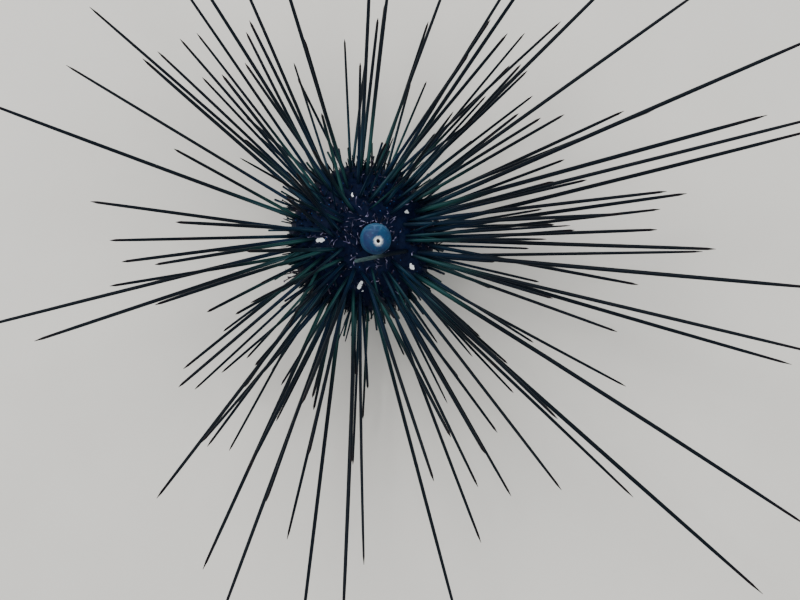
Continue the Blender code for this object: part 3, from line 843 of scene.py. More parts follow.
@dataclass
class StemMould:
    """Casts many stems of one kind as one mesh: a closed tube of a few rings, copied and shaped per stem."""

    sides: int
    rings: int
    patch: float = 0.003
    # Where the two end caps lie on the map of one stem, and how wide and high they are there
    cap_rows: Span = (0.06, 0.94)
    cap_size: Span = (0.45, 0.05)

    def cast(self) -> BMesh:
        """Make the tube, of radius one, with one step of height between its rings.

        Returns:
            The tube, closed.
        """
        bm = bmesh.new()
        bmesh.ops.create_circle(bm, cap_ends=False, segments=self.sides, radius=1.0)
        rim = bm.edges[:]
        for _ in range(self.rings - 1):
            grown = bmesh.ops.extrude_edge_only(bm, edges=rim)["geom"]
            raised = [item for item in grown if isinstance(item, bmesh.types.BMVert)]
            bmesh.ops.translate(bm, verts=raised, vec=(0, 0, 1))
            rim = [item for item in grown if isinstance(item, bmesh.types.BMEdge)]
        bmesh.ops.holes_fill(bm, edges=bm.edges, sides=0)
        bmesh.ops.recalc_face_normals(bm, faces=bm.faces)
        return bm

    def around(self, mesh: bpy.types.Mesh) -> tuple[np.ndarray, np.ndarray]:
        """Lay the tube's corners out flat.

        Args:
            mesh: the tube.

        Returns:
            The vertex of each corner, and its place across and along, each from zero to one.
        """
        verts = np.array([loop.vertex_index for loop in mesh.loops])
        flat = np.zeros((len(verts), 2))
        wide, high = self.cap_size
        for face in mesh.polygons:
            points = [mesh.vertices[mesh.loops[corner].vertex_index].co for corner in face.loop_indices]
            heights = [point.z for point in points]
            if max(heights) - min(heights) < 0.5:
                row = self.cap_rows[int(heights[0] > 0.5)]
                laid = [(0.5 + wide * point.x, row + high * point.y) for point in points]
            else:
                turns = [atan2(point.y, point.x) / tau % 1.0 for point in points]
                if max(turns) - min(turns) > 0.5:
                    turns = [turn + 1.0 if turn < 0.5 else turn for turn in turns]
                laid = [(turn, height / (self.rings - 1)) for turn, height in zip(turns, heights)]
            for corner, spot in zip(face.loop_indices, laid):
                flat[corner] = spot
        return verts, flat

    def shape(self, stems: Sequence[Stem], unit: np.ndarray) -> tuple[np.ndarray, np.ndarray]:
        """Bend and scale the copies of the tube.

        Args:
            stems: the stems.
            unit: the tube's vertices.

        Returns:
            Vertices of all copies in millimetres, and how far along its stem each one is.
        """
        ring = np.rint(unit[:, 2]).astype(int)
        root, direction, swayed = (
            np.array([getattr(stem, name)[:] for stem in stems]) for name in ("root", "direction", "sway")
        )
        helper = np.where(np.abs(direction[:, 2:3]) < 0.9, [[0.0, 0.0, 1.0]], [[1.0, 0.0, 0.0]])
        side = np.cross(helper, direction)
        side /= np.linalg.norm(side, axis=1, keepdims=True)
        other = np.cross(direction, side)
        along = np.array([stem.alongs for stem in stems], dtype=float)[:, ring]
        radius = np.array([stem.radii for stem in stems], dtype=float)[:, ring]
        share = np.clip(along / along.max(axis=1, keepdims=True), 0.0, 1.0)
        bowed = np.array([stem.bend is Bend.BOW for stem in stems])[:, None]
        sway = np.where(bowed, 4.0 * share * (1.0 - share), share ** 2)
        places = root[:, None] + direction[:, None] * along[:, :, None] + swayed[:, None] * sway[:, :, None]
        places += side[:, None] * (unit[:, 0] * radius)[:, :, None]
        places += other[:, None] * (unit[:, 1] * radius)[:, :, None]
        return places, along

    def build(self, name: str, stems: Sequence[Stem], strip: Strip) -> Piece:
        """Make one object of all the stems.

        Args:
            name: the object's name.
            stems: the stems.
            strip: the part of the shell that the bake map lays out.

        Returns:
            The object, with a map named shaft, across and along in metres, and the bake map.
        """
        tube = self.cast()
        single = bpy.data.meshes.new(name + "_one")
        tube.to_mesh(single)
        tube.free()
        many = bmesh.new()
        for _ in stems:
            many.from_mesh(single)
        mesh = bpy.data.meshes.new(name)
        many.to_mesh(mesh)
        many.free()
        unit = np.array([vertex.co[:] for vertex in single.vertices])
        corners, flat = self.around(single)
        places, along = self.shape(stems, unit)
        mesh.vertices.foreach_set("co", (places * MM).ravel())
        shaft = np.stack([np.tile(flat[:, 0], (len(stems), 1)), along[:, corners] * MM], axis=2)
        centres = np.array([strip.at(*stem.place) for stem in stems])
        baked = centres[:, None] + (flat - 0.5)[None] * self.patch
        for label, values in (("shaft", shaft), ("OFBake", baked)):
            layer = mesh.uv_layers.new(name=label)
            layer.uv.foreach_set("vector", values.astype(np.float32).ravel())
        reach = along / along.max(axis=1, keepdims=True)
        shades = np.repeat([stem.shade for stem in stems], len(unit))
        for label, values in (("reach", reach.ravel()), ("shade", shades)):
            mesh.attributes.new(label, "FLOAT", "POINT").data.foreach_set("value", values.astype(np.float32))
        mesh.shade_smooth()
        mesh.update()
        bpy.data.meshes.remove(single)
        return put_out(name, mesh)


def put_out(name: str, data: Any) -> Piece:
    """Link a new object at the origin.

    Args:
        name: its name.
        data: the mesh, lamp or camera that it shows.

    Returns:
        The object.
    """
    made = bpy.data.objects.new(name, data)
    bpy.context.scene.collection.objects.link(made)
    return made


def enrol(piece: Piece, material: bpy.types.Material, slot: str, *nodes: str) -> None:
    """Args:
        piece: the piece.
        material: its finish.
        slot: the record's slot; not used.
        nodes: the solids that it stands for, if any.
    """
    piece.data.materials.clear()
    piece.data.materials.append(material)
    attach(piece, BODY)
    if nodes:
        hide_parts(*nodes)
    LOG.info("%s: %d faces for %s", piece.name, len(piece.data.polygons), ", ".join(nodes) or "no solid")


def swept(bm: BMesh, profile: Sequence[Span], steps: int, start: float = 0.0, angle: float = tau) -> None:
    """Sweep a profile round the Z axis.

    Args:
        bm: an empty mesh, which the surface is made in.
        profile: radii and heights.
        steps: steps round.
        start: azimuth that the sweep starts from, in radians.
        angle: how far round it goes, in radians.
    """
    corners = [bm.verts.new((radius, 0.0, height)) for radius, height in profile]
    edges = [bm.edges.new(pair) for pair in zip(corners, corners[1:])]
    bmesh.ops.transform(bm, matrix=Matrix.Rotation(start, 4, "Z"), verts=bm.verts)
    bmesh.ops.spin(
        bm, geom=corners + edges, cent=(0, 0, 0), axis=(0, 0, 1), dvec=(0, 0, 0),
        angle=angle, steps=steps, use_merge=angle == tau, use_duplicate=False,
    )


def spun(profile: Sequence[Span], steps: int) -> BMesh:
    """Turn a profile all the way round the Z axis.

    Args:
        profile: radii and heights.
        steps: steps round.

    Returns:
        The turned surface, welded, its faces pointing outwards.
    """
    bm = bmesh.new()
    swept(bm, profile, steps)
    bmesh.ops.remove_doubles(bm, verts=bm.verts, dist=1e-4)
    bmesh.ops.recalc_face_normals(bm, faces=bm.faces)
    return bm


def rounded(bm: BMesh, edges: Sequence[bmesh.types.BMEdge], width: float) -> None:
    """Round off edges with a bevel.

    Args:
        bm: the mesh.
        edges: its edges.
        width: how wide the bevel is.
    """
    bmesh.ops.bevel(
        bm, geom=edges, offset=width, offset_type="OFFSET", segments=2, profile=0.5,
        affect="EDGES", material=-1,
    )


def merged(whole: BMesh, part: BMesh) -> None:
    """Add a part to a whole and free it.

    Args:
        whole: what it is added to.
        part: the part.
    """
    mesh = bpy.data.meshes.new("part")
    part.to_mesh(mesh)
    part.free()
    whole.from_mesh(mesh)
    bpy.data.meshes.remove(mesh)


def leaned(bm: BMesh, name: str, shell: Shell) -> Piece:
    """Make a piece from a mesh in the shell's own axes: leaned over, set at its centre and turned to metres.

    Args:
        bm: the mesh, which is freed.
        name: the piece's name.
        shell: the shell.

    Returns:
        The piece, in the world.
    """
    place = Matrix.Scale(MM, 4) @ Matrix.Translation(shell.centre) @ shell.lean.to_4x4()
    bmesh.ops.transform(bm, matrix=place, verts=bm.verts)
    mesh = bpy.data.meshes.new(name)
    bm.to_mesh(mesh)
    bm.free()
    mesh.shade_smooth()
    mesh.update()
    return put_out(name, mesh)


@dataclass(frozen=True)
class Layer:
    """A colour that is laid over others where a value runs from one limit to the other."""

    colour: str
    limits: Span = (0.0, 1.0)
    most: float = 1.0
    smooth: bool = False
    power: float = 1.0


@dataclass(frozen=True)
class Grain:
    """A noise pattern: how wide its features are in millimetres, and how much finer detail they carry."""

    size: float
    detail: float
    roughness: float = 0.5

    def feeds(self, place: Socket) -> dict[str, Any]:
        """Inputs that give a noise node this pattern."""
        scale = per_metre(self.size)
        return {"Vector": place, "Scale": scale, "Detail": self.detail, "Roughness": self.roughness}


@dataclass
class Look:
    """A new material and the colour laid on it so far."""

    material: bpy.types.Material
    base: Any

    def __post_init__(self) -> None:
        """Give the material its nodes."""
        self.material.use_nodes = True
        self.tree = self.material.node_tree
        self.shader = self.tree.nodes["Principled BSDF"]

    @cached_property
    def place(self) -> Socket:
        """Object coordinates."""
        return self.add("TexCoord").outputs["Object"]

    def add(
        self,
        kind: str,
        feeds: Optional[dict[Any, Any]] = None,
        stops: Sequence[tuple[float, str]] = (),
        **settings: Any,
    ) -> bpy.types.Node:
        """Add a node with its settings, its inputs and what is linked to them.

        Args:
            kind: the node's type, without the ShaderNode that it begins with.
            feeds: inputs, by name or number, with the value or the output that each takes.
            stops: places and colours of a colour ramp.
            settings: properties of the node and their values.

        Returns:
            The new node.
        """
        node = self.tree.nodes.new("ShaderNode" + kind)
        for name, value in settings.items():
            setattr(node, name, value)
        for key, value in (feeds or {}).items():
            if isinstance(value, Socket):
                self.tree.links.new(value, node.inputs[key])
            else:
                node.inputs[key].default_value = value
        for number, (place, colour) in enumerate(stops):
            ramp = node.color_ramp.elements
            stop = ramp[number] if number < 2 else ramp.new(place)
            stop.position = place
            stop.color = linear(colour)
        return node

    def lay(self, layer: Layer, value: Socket, unit: float = 1.0, times: Optional[Socket] = None) -> Socket:
        """Lay a colour over the base.

        Args:
            layer: the colour and where it lies.
            value: the value that the layer's limits are for.
            unit: what a limit of one stands for.
            times: another share that the colour's share is multiplied by.

        Returns:
            The share that the colour has.
        """
        low, high = layer.limits
        share = self.add("MapRange", {
            "Value": value, "From Min": low * unit, "From Max": high * unit, "To Max": layer.most,
        }, interpolation_type="SMOOTHSTEP" if layer.smooth else "LINEAR").outputs[0]
        if times is not None:
            share = self.add("Math", {0: share, 1: times}, operation="MULTIPLY").outputs[0]
        if layer.power != 1.0:
            share = self.add("Math", {0: share, 1: layer.power}, operation="POWER").outputs[0]
        mixed = self.add("Mix", {0: share, MIX_A: self.base, MIX_B: linear(layer.colour)}, data_type="RGBA")
        self.base = mixed.outputs[MIX_OUT]
        return share

    def close(self, height: Socket, relief: Span) -> bpy.types.Material:
        """Link the colour and the relief to the shader.

        Args:
            height: the height of the relief.
            relief: its strength, and its depth in millimetres.

        Returns:
            The finished material.
        """
        strength, depth = relief
        self.tree.links.new(self.base, self.shader.inputs["Base Color"])
        bump = self.add("Bump", {"Height": height, "Strength": strength, "Distance": depth * MM})
        self.tree.links.new(bump.outputs[0], self.shader.inputs["Normal"])
        return self.material


@dataclass(frozen=True)
class Finish:
    """What every finish has: a name, a gloss and a refraction."""

    name: str
    roughness: float
    ior: float = 1.45

    def start(self, first: str) -> Look:
        """Begin a material with this gloss and refraction.

        Args:
            first: the colour under all others, as #rrggbb.

        Returns:
            The material's look so far.
        """
        look = Look(bpy.data.materials.new(self.name), linear(first))
        look.shader.inputs["Roughness"].default_value = self.roughness
        look.shader.inputs["IOR"].default_value = self.ior
        return look


@dataclass(frozen=True)
class SpineFinish(Finish):
    """Calcite needle under a thin dark living skin: glossy, ribbed lengthwise, ringed with fine barbs, with
    painted highlight streaks.

    It is painted teal-green where it stands over the body, as a sheen, and is purple-black further out,
    brownish at its point.
    """

    name: str = "calcite_spine"
    roughness: float = 0.36
    # Calcite against sea water, not against air
    ior: float = 1.13
    # Tones near the shell, which differ from spine to spine: a painted teal sheen over the dark spine
    near: tuple[tuple[float, str], ...] = ((0.3, "#0d2136"), (0.65, "#112a37"), (0.92, "#193e3c"))
    # A painted highlight in thin streaks along the shaft
    highlight_streak: Layer = Layer("#455f66", (0.54, 0.68), 0.6)
    # Painted highlight streaks round a shaft, and their length
    streak_count: float = 6.0
    streak_length: float = 26.0
    streak_detail: float = 3.0
    streak_roughness: float = 0.6
    # Distances from the hub between which the painted sheen fades and the shaft turns dark
    far: Layer = Layer("#10161d", (38.0, 74.0), smooth=True)
    # How far the dark muscle at the root reaches up the shaft, a darkening that also paints the shade among
    # the crowded roots
    root: Layer = Layer("#040f1e", (10.0, 0.0), 0.92, smooth=True)
    point: Layer = Layer("#1a1214", (0.88, 1.0), 0.8)
    ribs: int = 14
    rib_share: float = 0.5
    # Real whorls of barbs stand 0.4 mm apart; they are drawn twice as coarse so that they show
    whorl: float = 0.8
    relief: Span = (0.5, 0.06)

    def material(self, shell: Shell) -> bpy.types.Material:
        """Build the material, its colours spread from the shell's hub.

        Args:
            shell: the shell.

        Returns:
            The material, for stems with shade, reach and the map named shaft.
        """
        look = self.start(self.near[0][1])
        carried = [look.add("Attribute", attribute_name=name) for name in ("shade", "reach")]
        shade, reach = (node.outputs["Fac"] for node in carried)
        shaft = look.add("UVMap", uv_map="shaft").outputs[0]
        around, along = look.add("SeparateXYZ", {0: shaft}).outputs[:2]
        away = look.add("VectorMath", {0: look.place, 1: shell.hub * MM}, operation="DISTANCE")
        look.base = look.add("ValToRGB", {0: shade}, self.near).outputs[0]
        stretch = (self.streak_count, per_metre(self.streak_length), 1.0)
        streaks = look.add("Mapping", {"Vector": shaft, "Scale": stretch}).outputs[0]
        grain = look.add("TexNoise", {
            "Vector": streaks, "W": shade, "Scale": 1.0,
            "Detail": self.streak_detail, "Roughness": self.streak_roughness,
        }, noise_dimensions="4D").outputs[0]
        # Thin painted highlight streaks along the shaft
        look.lay(self.highlight_streak, grain)
        # The painted sheen near the shell gives way to the spine's own dark colour further from the hub
        look.lay(self.far, away.outputs["Value"], MM)
        # Dark muscle at the root, with painted shade among the crowded roots
        look.lay(self.root, along, MM)
        look.lay(self.point, reach)
        rib = look.add("Math", {0: around, 1: tau * self.ribs}, operation="MULTIPLY").outputs[0]
        rib = look.add("Math", {0: rib}, operation="SINE").outputs[0]
        barb = look.add("Math", {0: along, 1: per_metre(self.whorl)}, operation="MULTIPLY").outputs[0]
        barb = look.add("Math", {0: barb}, operation="FRACT").outputs[0]
        height = look.add("Math", {0: rib, 1: self.rib_share, 2: barb}, operation="MULTIPLY_ADD").outputs[0]
        return look.close(height, self.relief)


@dataclass(frozen=True)
class StumpFinish(Finish):
    """Bare calcite of a snapped spine: dull olive grey at the break, darker towards its root with skin and
    painted shade under the sac's edge.
    """

    name: str = "bare_calcite"
    roughness: float = 0.5
    ior: float = 1.2
    bare: str = "#2c4145"
    worn: Layer = Layer("#5b6d68", (0.45, 0.7), 0.6)
    # Darker towards the root: skin, and painted shade where the stump runs under the sac's edge
    skin: Layer = Layer("#050d18", (0.72, 0.42), smooth=True)
    # Streaks round the shaft, and their length
    streak_count: float = 12.0
    streak_length: float = 4.0
    streak_detail: float = 4.0
    relief: Span = (0.5, 0.08)

    def material(self) -> bpy.types.Material:
        """Build the material for a stem with reach and the map named shaft.

        Returns:
            The material.
        """
        look = self.start(self.bare)
        shaft = look.add("UVMap", uv_map="shaft").outputs[0]
        stretch = (self.streak_count, per_metre(self.streak_length), 1.0)
        streaks = look.add("Mapping", {"Vector": shaft, "Scale": stretch}).outputs[0]
        feeds = {"Vector": streaks, "Scale": 1.0, "Detail": self.streak_detail}
        grain = look.add("TexNoise", feeds).outputs[0]
        look.lay(self.worn, grain)
        # Skin and painted shade under the sac's edge darken the root end
        look.lay(self.skin, look.add("Attribute", attribute_name="reach").outputs["Fac"])
        return look.close(grain, self.relief)


@dataclass(frozen=True)
class SkinFinish(Finish):
    """Wet blue-black skin, mottled, with five large white patches, smaller white marks and blue flecks."""

    name: str = "wet_skin"
    roughness: float = 0.5
    ior: float = 1.12
    deep: str = "#020820"
    mottle: Grain = Grain(2.4, 5.0, 0.65)
    pale: Layer = Layer("#09152d", (0.38, 0.7))
    # Flecks: how far apart they could be, their edge as a share of that, and how few of them show
    fleck_spacing: float = 1.5
    fleck: Layer = Layer("#2b5590", (0.2, 0.12), 0.75)
    fleck_rarity: float = 0.82
    # What frays the edges of the patches, and how far
    ragged: Grain = Grain(1.4, 3.0)
    ragged_depth: float = 1.8
    patch: Layer = Layer("#f4fafd", (1.08, 0.9))
    # Azimuth, turn from the upper pole, half length, half width and direction of each white patch
    patches: tuple[tuple[float, float, float, float, float], ...] = (
        (36.4, 35.2, 0.85, 0.75, 0.0),
        (114.6, 37.3, 0.9, 0.38, 90.0),
        (181.7, 41.7, 1.9, 0.95, 8.0),
        (256.2, 37.1, 1.9, 0.85, 67.0),
        (326.8, 41.3, 1.6, 0.75, -59.0),
        (215.5, 29.8, 0.2, 0.2, 0.0),
        (261.5, 42.9, 0.3, 0.25, 0.0),
        (307.4, 14.6, 0.6, 0.45, 0.0),
        (126.4, 61.5, 0.35, 0.3, 0.0),
    )
    patch_depth: float = 4.0
    grain: Grain = Grain(0.5, 4.0)
    relief: Span = (0.6, 0.3)

    def material(self, shell: Shell) -> bpy.types.Material:
        """Build the material, its patches set on the shell.

        Args:
            shell: the shell.

        Returns:
            The material.
        """
        look = self.start(self.deep)
        place = look.place
        look.lay(self.pale, look.add("TexNoise", self.mottle.feeds(place)).outputs[0])
        cells = look.add("TexVoronoi", {"Vector": place, "Scale": per_metre(self.fleck_spacing)})
        chosen = look.add("SeparateXYZ", {0: cells.outputs["Color"]}).outputs[0]
        rare = look.add("Math", {0: chosen, 1: self.fleck_rarity}, operation="GREATER_THAN").outputs[0]
        look.lay(self.fleck, cells.outputs["Distance"], times=rare)
        frayed = look.add("TexNoise", self.ragged.feeds(place)).outputs["Color"]
        for operation, feeds in (
            ("SUBTRACT", {1: (0.5, 0.5, 0.5)}),
            ("SCALE", {"Scale": self.ragged_depth * MM}),
            ("ADD", {1: place}),
        ):
            frayed = look.add("VectorMath", {0: frayed, **feeds}, operation=operation).outputs[0]
        for azimuth, turn, length, width, heading in self.patches:
            oval = look.add("Mapping", {
                "Vector": frayed,
                "Location": shell.to_world(shell.on_surface(azimuth, turn)) * MM,
                "Rotation": (0.0, 0.0, radians(heading)),
                "Scale": Vector((length, width, self.patch_depth)) * MM,
            }, vector_type="TEXTURE").outputs[0]
            gone = look.add("VectorMath", {0: oval}, operation="LENGTH").outputs["Value"]
            look.lay(self.patch, gone)
        return look.close(look.add("TexNoise", self.grain.feeds(place)).outputs[0], self.relief)


@dataclass(frozen=True)
class SacFinish(Finish):
    """Thin wet bladder wall, steel blue with a violet cloud, white round its pore.

    Its +Y side is paler with painted light, its rim with a painted sheen, and its pore is painted near black
    as the shade inside the opening.
    """

    name: str = "bladder_skin"
    roughness: float = 0.5
    ior: float = 1.2
    body: str = "#153a5c"
    clouding: Grain = Grain(5.0, 4.0, 0.6)
    cloud: Layer = Layer("#253258", (0.44, 0.6), 0.95)
    freckling: Grain = Grain(1.6, 2.0)
    freckle: Layer = Layer("#3a6482", (0.58, 0.74), 0.5)
    # The painted light on the +Y side and the painted rim sheen have their limits as shares of the sac's
    # radius
    painted_light_side: Layer = Layer("#3a6482", (0.1, 1.0), 0.5, smooth=True)
    # A painted sheen round the sac's widest circle, its edge as seen from above
    rim: Layer = Layer("#3a6482", (0.84, 1.0), 0.5)
    mesh_width: float = 4.6
    vein: Layer = Layer("#5a83a6", (0.13, 0.0), 1.1, smooth=True)
    # The ring and the pore have their limits as distances from the pore's middle
    ring: Layer = Layer("#f8fefe", (2.8, 1.0), power=2.0)
    # The pore is painted near black: painted shade inside the opening
    pore: Layer = Layer("#050608", (1.0304, 0.828))
    ragged: Grain = Grain(0.8, 3.0)
    ragged_depth: float = 0.3
    ragged_range: Span = (0.3, 0.7)
    wrinkle: Grain = Grain(0.7, 3.0)
    relief: Span = (0.35, 0.12)
    # Share of light that the wall lets in, and how far its red, green and blue travel
    glow: float = 0.15
    glow_depths: tuple[float, float, float] = (0.4, 0.8, 1.2)

    def material(self, axis_top: Vector, axis: Vector, pore: Vector, radius: float) -> bpy.types.Material:
        """Build the material.

        Args:
            axis_top: a point on the sac's axis, in metres.
            axis: the direction of that axis.
            pore: the middle of the pore, in metres.
            radius: the sac's radius, in millimetres.

        Returns:
            The material.
        """
        look = self.start(self.body)
        place = look.place
        look.lay(self.cloud, look.add("TexNoise", self.clouding.feeds(place)).outputs[0])
        look.lay(self.freckle, look.add("TexNoise", self.freckling.feeds(place)).outputs[0])
        # Each centre's offset, and its distance from a line through that centre along the axis
        offsets, spreads = [], []
        for centre in (axis_top, pore):
            offset = look.add("VectorMath", {0: place, 1: centre}, operation="SUBTRACT").outputs[0]
            across = look.add("VectorMath", {0: offset, 1: axis}, operation="CROSS_PRODUCT").outputs[0]
            offsets.append(offset)
            spreads.append(look.add("VectorMath", {0: across}, operation="LENGTH").outputs["Value"])
        # Paler towards the sac's +Y side, which faces the key lamp: painted light
        painted_light_share = look.lay(self.painted_light_side, look.add("SeparateXYZ", {0: offsets[0]}).outputs[1], radius * MM)
        cells = {"Vector": place, "Scale": per_metre(self.mesh_width)}
        web = look.add("TexVoronoi", cells, feature="DISTANCE_TO_EDGE").outputs["Distance"]
        # The pale veins show only under the painted light
        look.lay(self.vein, web, times=painted_light_share)
        # Painted rim sheen
        look.lay(self.rim, spreads[0], radius * MM)
        tatter = look.add("TexNoise", self.ragged.feeds(place)).outputs[0]
        low, high = self.ragged_range
        tatter = look.add("MapRange", {
            "Value": tatter, "From Min": low, "From Max": high,
            "To Min": -self.ragged_depth * MM, "To Max": self.ragged_depth * MM,
        }).outputs[0]
        ragged = look.add("Math", {0: spreads[1], 1: tatter}, operation="ADD").outputs[0]
        look.lay(self.ring, ragged, MM)
        # Painted shade inside the pore
        look.lay(self.pore, spreads[1], MM)
        inputs = look.shader.inputs
        inputs["Subsurface Weight"].default_value = self.glow
        inputs["Subsurface Radius"].default_value = [depth * MM for depth in self.glow_depths]
        inputs["Subsurface Scale"].default_value = 1.0
        return look.close(look.add("TexNoise", self.wrinkle.feeds(place)).outputs[0], self.relief)


@dataclass(frozen=True)
class SoftFinish(Finish):
    """Soft living tissue in two tones that shift from stem to stem and along each one."""

    name: str = "soft_tissue"
    roughness: float = 0.45
    ior: float = 1.38
    dark: str = "#1a1524"
    light: str = "#8f8aa6"
    end: str = "#c9c6dc"
    end_from: float = 0.6
    grain: Grain = Grain(0.6, 3.0)
    relief: Span = (0.4, 0.1)

    def material(self) -> bpy.types.Material:
        """Build the material for stems with shade and reach.

        Returns:
            The material.
        """
        look = self.start(self.dark)
        carried = [look.add("Attribute", attribute_name=name) for name in ("shade", "reach")]
        shade, reach = (node.outputs["Fac"] for node in carried)
        look.lay(Layer(self.light), shade)
        look.lay(Layer(self.end, (self.end_from, 1.0)), reach, times=shade)
        return look.close(look.add("TexNoise", self.grain.feeds(look.place)).outputs[0], self.relief)


@dataclass(frozen=True)
class TissueFinish(Finish):
    """Tissue or calcite without stems: two tones in a soft mottle, with fine relief."""

    name: str = "mottled_tissue"
    roughness: float = 0.45
    ior: float = 1.4
    dark: str = "#0b0a14"
    light: str = "#1d1a2c"
    light_limits: Span = (0.36, 0.66)
    mottle: float = 2.0
    mottle_detail: float = 5.0
    mottle_roughness: float = 0.6
    grain: float = 0.5
    grain_detail: float = 4.0
    relief: float = 0.15
    relief_strength: float = 0.6
    coat: float = 0.3

    def material(self) -> bpy.types.Material:
        """Build the material.

        Returns:
            The material.
        """
        look = self.start(self.dark)
        mottle = Grain(self.mottle, self.mottle_detail, self.mottle_roughness).feeds(look.place)
        look.lay(Layer(self.light, self.light_limits), look.add("TexNoise", mottle).outputs[0])
        look.shader.inputs["Coat Weight"].default_value = self.coat
        grain = look.add("TexNoise", Grain(self.grain, self.grain_detail).feeds(look.place)).outputs[0]
        return look.close(grain, (self.relief_strength, self.relief))


@dataclass
class Skin:
    """One skin over the whole shell and its upper disc, raised round every spine root."""

    shell: Shell
    steps_round: int = 288
    steps_down: int = 84
    steps_disc: int = 10
    # How high the closed floor lies over the mouth's rim, and from what height the skin is shaped
    floor_rise: float = 1.5
    shaped_from: float = 2.0
    boss_rise: float = 0.6
    boss_reach: float = 2.3
    boss_least: float = 0.5
    boss_gain: float = 0.5
    ripple: float = 0.22
    ripple_size: float = 3.0
    ripple_sink: float = 0.4

    def profile(self) -> list[Span]:
        """Draw the skin's profile.

        Returns:
            Radii and heights from the upper pole, over the waist, to the closed floor above the mouth.
        """
        shell = self.shell
        top = shell.turn_at_radius(shell.disc_radius)
        bottom = shell.turn_at_radius(shell.mouth_radius, below=True)
        dome = shell.disc_top + shell.disc_dome
        shares = [step / self.steps_disc for step in range(self.steps_disc)]
        points = [(shell.disc_radius * share, dome - shell.disc_dome * share ** 2) for share in shares]
        for step in range(self.steps_down + 1):
            points.append(shell.profile(top + (bottom - top) * step / self.steps_down))
        points.append((shell.mouth_radius - GAP, shell.mouth_low + GAP))
        points.append((0.0, shell.mouth_low + self.floor_rise))
        return points

    def build(self, spines: Sequence[Spine]) -> Piece:
        """Make the skin.

        Args:
            spines: the spines whose roots it rises round.

        Returns:
            The skin, closed, in the world.
        """
        shell = self.shell
        bm = spun(self.profile(), self.steps_round)
        roots = np.array([shell.to_own(spine.root)[:] for spine in spines])
        widths = np.array([self.boss_least + self.boss_gain * spine.root_radius for spine in spines])
        for vertex in bm.verts:
            away = np.linalg.norm(roots - np.array(vertex.co[:]), axis=1) / (self.boss_reach * widths)
            rise = float(np.max(np.clip(1.0 - away ** 2, 0.0, 1.0) * widths)) * self.boss_rise
            rise += self.ripple * (noise.noise(vertex.co / self.ripple_size) - self.ripple_sink)
            if vertex.co.z > shell.mouth_low + self.shaped_from:
                vertex.co += shell.normal(vertex.co) * rise
        return leaned(bm, "skin", shell)


@dataclass
class SpineCoat:
    """The spines in full detail: a milled ring at the root, a slender bowed shaft and a needle point."""

    shell: Shell
    rings: int = 8
    sides: int = 8
    stump_sides: int = 12
    stump_patch: float = 0.6
    bow_share: float = 0.0015
    # How deep a spine is rooted
    rooted: float = -1.4
    # Where its milled ring ends, as a share of its radius, and where its shaft begins, as a share of that
    ring: float = 0.9
    ring_end: float = 1.9
    foot: float = 1.1
    collar: float = 1.2
    needle: float = 0.09
    girth: float = 0.94
    vary: float = 0.16
    # A snapped tip: how far along its last ring but one lies, and the share of its radius left at its end
    break_at: float = 0.985
    break_width: float = 0.55
    # How far along each ring lies, and the share of the root's extra thickness that is left there
    taper: tuple[Span, ...] = ((0.34, 1.0), (0.64, 0.9), (0.86, 0.66), (0.97, 0.2), (1.0, -0.9))

    def stem(self, spine: Spine, chance: random.Random) -> Stem:
        """Shape one spine.

        Args:
            spine: its place and sizes.
            chance: the seeded draw for bow and shade.

        Returns:
            The stem that the mould casts.
        """
        length = spine.length
        ring = self.ring * spine.root_radius
        alongs = [self.rooted, ring, ring * self.ring_end] + [length * share for share, _ in self.taper]
        foot = spine.root_radius * self.foot
        slope = spine.root_radius - spine.tip_radius
        radii = [foot * self.collar, foot * self.collar, foot]
        radii += [spine.tip_radius + slope * kept for _, kept in self.taper]
        width = self.girth * (1.0 + chance.uniform(-self.vary, self.vary))
        radii = [radius * width for radius in radii]
        bow = 0.0 if spine.kind in (SpineKind.SNAPPED, SpineKind.STANDING) else self.bow_share * length
        if spine.kind is SpineKind.SNAPPED:
            alongs[-2] = length * self.break_at
            radii[-1] = spine.tip_radius * self.break_width
        elif spine.kind is not SpineKind.STANDING:
            radii[-1] = self.needle
        sway = strayed(chance.gauss, 0.0, bow)
        sway -= spine.direction * sway.dot(spine.direction)
        local = self.shell.to_own(spine.root)
        place = (degrees(atan2(local.y, local.x)), self.shell.turn_of(local))
        return Stem(spine.root, spine.direction, alongs, radii, place, sway, Bend.BOW, chance.random())

    def build(self, spines: Sequence[Spine]) -> dict[str, Piece]:
        """Make one piece for each row of the shell.

        Args:
            spines: all the spines.

        Returns:
            The pieces by the name of the solid that each stands for.
        """
        chance = random.Random(67)
        mould = StemMould(self.sides, self.rings)
        rows = {}
        for spine in spines:
            if spine.kind is not SpineKind.SNAPPED:
                rows.setdefault(spine.row, []).append(self.stem(spine, chance))
        pieces = {}
        for (kind, number), stems in sorted(rows.items()):
            solid = f"{'inter' if kind == 'broad' else ''}ambulacrum_{number + 1}"
            piece = mould.build(f"spines_{solid}", stems, Strip(*self.shell.row(kind, number)))
            # Whatever reaches under the floor, such as the edge of a standing tip, is flattened
            for vertex in piece.data.vertices:
                vertex.co.z = max(vertex.co.z, 0.0)
            pieces[solid] = piece
        return pieces

    def build_stump(self, spines: Sequence[Spine]) -> Piece:
        """Make the snapped spine, which has a finish of its own.

        Args:
            spines: all the spines.

        Returns:
            The piece.
        """
        chance = random.Random(71)
        stems = [self.stem(spine, chance) for spine in spines if spine.kind is SpineKind.SNAPPED]
        mould = StemMould(self.stump_sides, self.rings, self.stump_patch)
        return mould.build("snapped_spine", stems, Strip())


